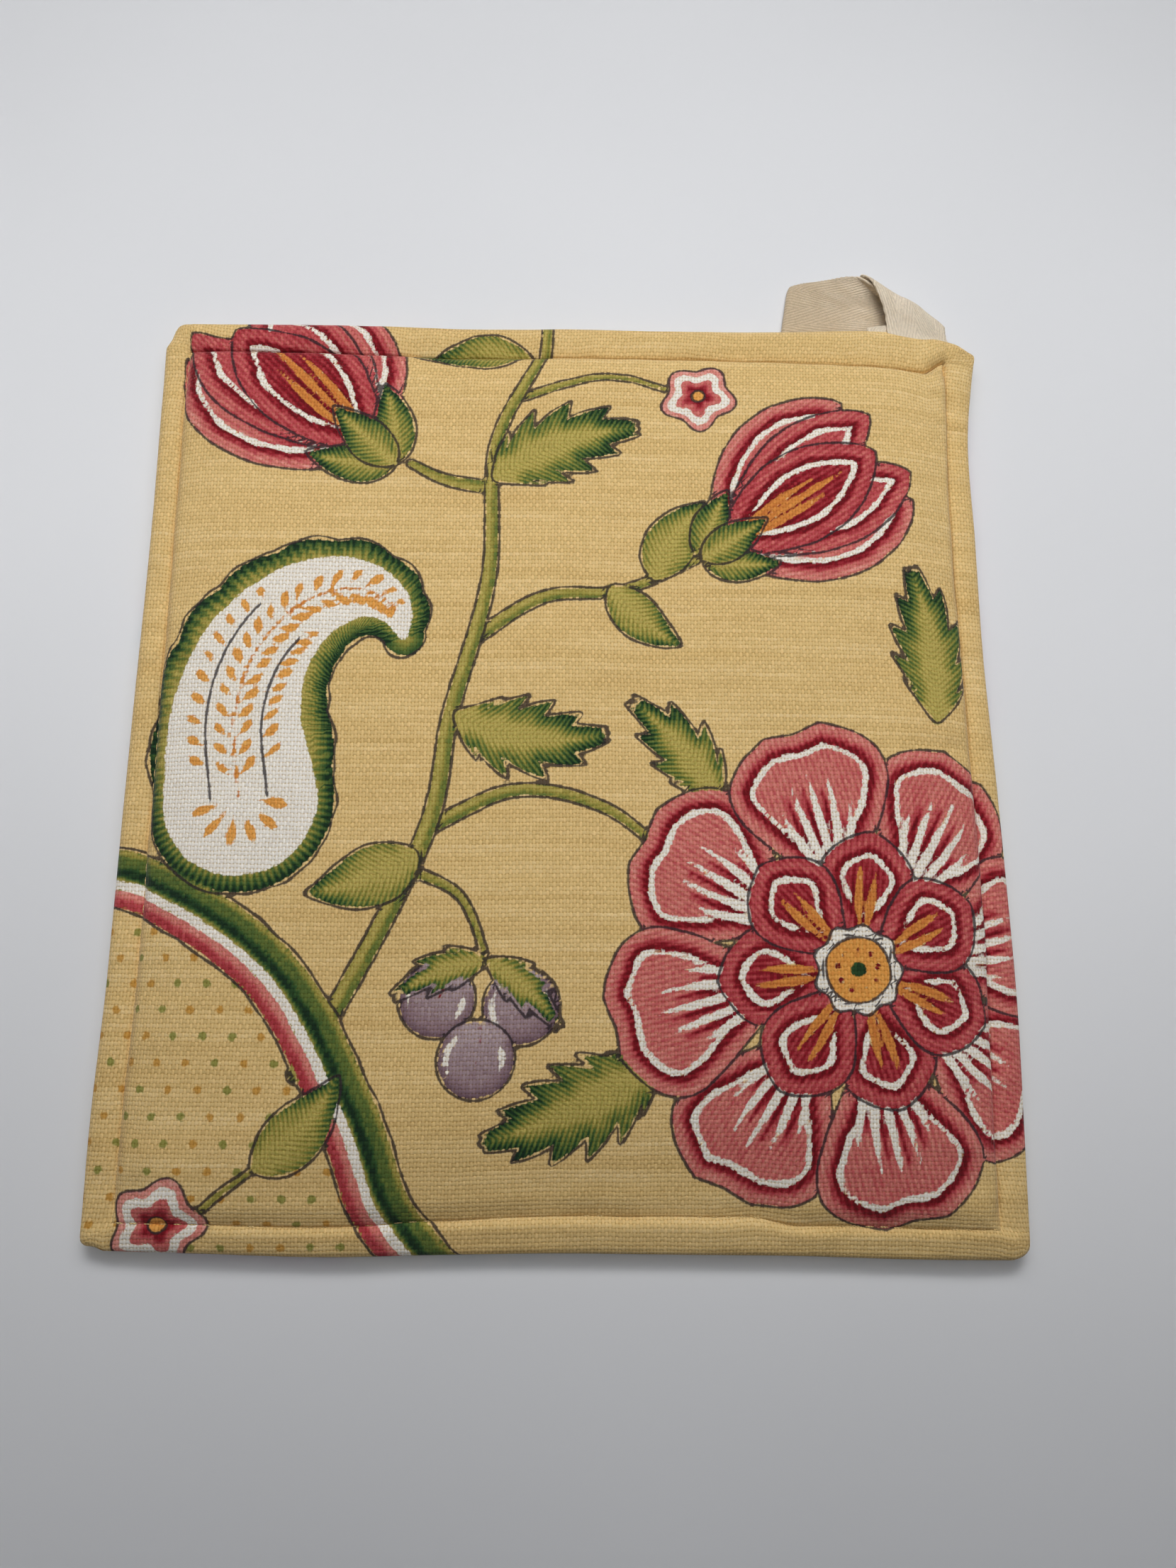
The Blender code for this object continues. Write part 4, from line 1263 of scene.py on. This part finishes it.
def printed_cotton():
    s = Shader("printed_cotton", CLOTH_FINISH)
    u, v, grain = s.attribute("weave")
    areas = dict(zip((*INKS, "dots"), s.attribute("ink_a") + s.attribute("ink_b")))
    rose_tone, green_tone, ochre_tone = s.attribute("tone_a")
    edge, edge_size, mauve_tone = s.attribute("pen")

    height, column, row, on_weft, slub = plain_weave(s, u, v)
    cell = s.chance(column, row)
    other_cell = s.chance(column, row, 7.0)
    # Ink takes on whole threads, so its edges step from thread to thread.
    ragged = (cell - 0.5) * INK_RAGGED + (height - 0.7) * 0.16

    streaks = 0.55 * s.noise(u * 0.016, row * 0.29, 9.0)
    streaks = streaks + 0.45 * s.noise(u * 0.035, row * 0.93, 4.0)
    cloth = s.ramp(0.5 + streaks * (0.4 + 0.6 * on_weft) + (cell - 0.5) * 0.14, GROUND)

    # Dots in staggered rows, some green and some ochre.
    dot_row = (v / DOT_ROWS).floor()
    stagger = u / DOT_COLUMNS + 0.5 * dot_row.odd()
    dot_x = (stagger.fraction() - 0.5) * DOT_COLUMNS
    dot_y = ((v / DOT_ROWS).fraction() - 0.5) * DOT_ROWS
    dot_away = (dot_x * dot_x + dot_y * dot_y) ** 0.5 - DOT_RADIUS
    which = s.chance(stagger.floor(), dot_row, 3.0).exceeds(FIRST_DOTS)
    in_dots = (0.5 - (dot_away + ragged) / DOT_SOFTNESS).limited()
    in_dots = in_dots * (0.5 - areas["dots"] / DOTS_EDGE).limited() * DOT_STRENGTH
    cloth = s.blend(in_dots, cloth, s.blend(which, *(linear(*ink) for ink in DOT_INKS)))

    strokes = (grain * (2 * math.pi)).sine()
    patchy = (other_cell - 0.5) * 0.16 + s.noise(u * 0.12, v * 0.12, 1.0) * 0.12
    tones = {
        "rose": rose_tone + strokes * STROKE_DEPTHS["rose"] + patchy,
        "white": 0.5 + patchy * 1.5,
        "green": green_tone + strokes * STROKE_DEPTHS["green"] + patchy,
        "ochre": ochre_tone + strokes * STROKE_DEPTHS["ochre"] + patchy,
        "mauve": mauve_tone + patchy,
    }
    frayed = ragged + strokes * STROKE_FRAY
    for ink, stops in INK_COLOURS.items():
        within = (0.5 - (areas[ink] + frayed) / INK_SOFTNESS).limited()
        cloth = s.blend(within, cloth, s.ramp(tones[ink], stops))

    # The pen line fades and breaks up here and there.
    faint = s.noise(u * 0.16, v * 0.16, 12.0) - 0.02
    half = PEN_HALF_WIDTH * (1.0 - 1.6 * faint.larger(0.0))
    drawn = (0.5 + (half - edge.size() - ragged * 0.5) / PEN_SOFTNESS).limited()
    drawn = drawn * (0.5 + (half + 0.45 - edge_size) / 0.3).limited()
    cloth = s.blend(drawn * PEN_STRENGTH, cloth, linear(*PEN_COLOUR))

    # Each thread is rounded and a little uneven, with slubs in the weft: the yarn's own. The weft
    # floats are painted a little darker than the warp floats, as painted shade, and the gaps
    # between the threads are painted darker and browner, as painted shade with the brown of the
    # cloth's dye.
    yarn_and_painted_light = 1.03 + 0.09 * slub * on_weft - 0.09 * on_weft + (cell - 0.5) * 0.05
    cloth = s.shade(cloth, yarn_and_painted_light)
    painted_gap_shade = s.blend(1.0, cloth, GAP_SHADE, "MULTIPLY")
    s.colour(s.blend(height.step(*GAP_HEIGHTS), painted_gap_shade, cloth))
    s.bump(height, WEAVE_RELIEF)
    return s.material


def twill_tape():
    s = Shader("herringbone_tape", TAPE_FINISH)
    along, across, _ = s.attribute("tape")
    wave = ((across / HERRINGBONE).fraction() - 0.5).size() * HERRINGBONE
    ribs = (along * math.sin(RIB_ANGLE) + wave * math.cos(RIB_ANGLE)) / RIB_PITCH
    threads = across * math.sin(RIB_ANGLE) + along * math.cos(RIB_ANGLE)
    threads = threads / TWILL_THREAD_PITCH
    rib = ((ribs + 0.26 * s.noise(along * 0.7, across * 0.7, 6.0)) * math.pi).sine().size()
    height = rib * (0.80 + 0.20 * (threads * math.pi).sine().size() ** 0.6)
    worn = s.noise(along * 0.2, across * 0.2, 2.0)
    # Painted shade and light: the tape is painted darker round the bight and the hollow beside it,
    # and paler towards the raised strand and the sewn ends.
    painted_shade_and_light_along = ((along - BIGHT_PLACE).size() - PAINTED_SHADE_REACH) * PAINTED_LIGHT_PER_MM
    cloth = s.ramp(0.5 + worn * 0.5 + painted_shade_and_light_along, TAPE)
    # Painted light: the tops of the ribs are painted lighter; the fine noise is the yarn's own
    # unevenness.
    yarn_and_painted_light = 0.90 + 0.13 * height + 0.26 * s.noise(along * 1.6, across * 1.6, 4.0)
    s.colour(s.shade(cloth, yarn_and_painted_light))
    s.bump(height, TWILL_RELIEF)
    return s.material


def sewing_thread():
    s = Shader("sewing_thread", CLOTH_FINISH)
    x, y, z = s.object_place()
    ply = ((x + y) * (2 * math.pi / THREAD_TWIST)).sine()
    shade = s.noise(*(place * THREAD_SHADES for place in (x, y, z)))
    s.colour(s.ramp(0.5 + 0.3 * ply + 0.4 * shade, THREAD))
    s.bump(ply, THREAD_RELIEF)
    return s.material


def table_top():
    s = Shader("pale_floor", FLOOR_FINISH)
    x, y, z = s.object_place()
    s.colour(s.ramp(0.5 + s.noise(x * FLOOR_SHADES, y * FLOOR_SHADES, z), FLOOR))
    return s.material


# ---- Floor, light and camera -------------------------------------------------------------------


def make_floor():
    corners = np.array([(-1, -1, 0), (1, -1, 0), (1, 1, 0), (-1, 1, 0)]) * FLOOR_SIZE
    add_mesh("floor", corners, [[0, 1, 2, 3]], table_top(), smooth=False)


def set_place(thing, right, back, place):
    """Turns and moves a light or camera, which looks away from its back direction."""
    back = unit(np.array(back))
    right = unit(right - np.dot(right, back) * back)
    matrix = np.eye(4)
    matrix[:3] = np.column_stack([right, np.cross(back, right), back, place])
    thing.matrix_world = Matrix(matrix.tolist())


def make_light(name, place, aim, size, power, spread):
    data = bpy.data.lights.new(name, "AREA")
    data.shape = "ELLIPSE"
    data.size, data.size_y = size
    data.spread = math.radians(spread)
    data.energy = power
    data.color = LAMP_COLOUR
    back = unit(np.subtract(place, aim))
    side = np.cross((0.0, 1.0, 0.0) if abs(back[2]) > 0.95 else (0.0, 0.0, 1.0), back)
    set_place(add_to_scene(name, data), side, back, place)


def make_camera():
    data = bpy.data.cameras.new("camera")
    data.lens = CAMERA_LENS
    data.sensor_width = CAMERA_SENSOR
    data.sensor_fit = "AUTO"
    data.clip_start = 0.01
    camera = add_to_scene("camera", data)
    set_place(camera, CAMERA_RIGHT, CAMERA_BACK, CAMERA_PLACE)
    bpy.context.scene.camera = camera


def make_world():
    world = bpy.data.worlds.new("soft_room")
    bpy.context.scene.world = world
    world.use_nodes = True
    sky = world.node_tree.nodes["Background"]
    sky.inputs["Color"].default_value = SKY_COLOUR
    sky.inputs["Strength"].default_value = SKY_STRENGTH
    bpy.context.scene.view_settings.view_transform = "Standard"


def main():
    cloth, tape, thread = printed_cotton(), twill_tape(), sewing_thread()
    across, up = grid_lines(WIDTH), grid_lines(DEPTH)
    top, under = body_surface(across, up)
    cover = make_cover(top, under[::2, ::2], cloth)
    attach(cover, "root")
    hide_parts("padded_body")

    stitches = make_stitches(((top, 1.0), (under, -1.0)), across, up, thread)
    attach(stitches, "root")

    loop, length, width = make_loop(tape)
    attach(loop, "root")
    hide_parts("hanging_loop")

    make_floor()
    for light in LIGHTS:
        make_light(*light)
    make_world()
    make_camera()


main()
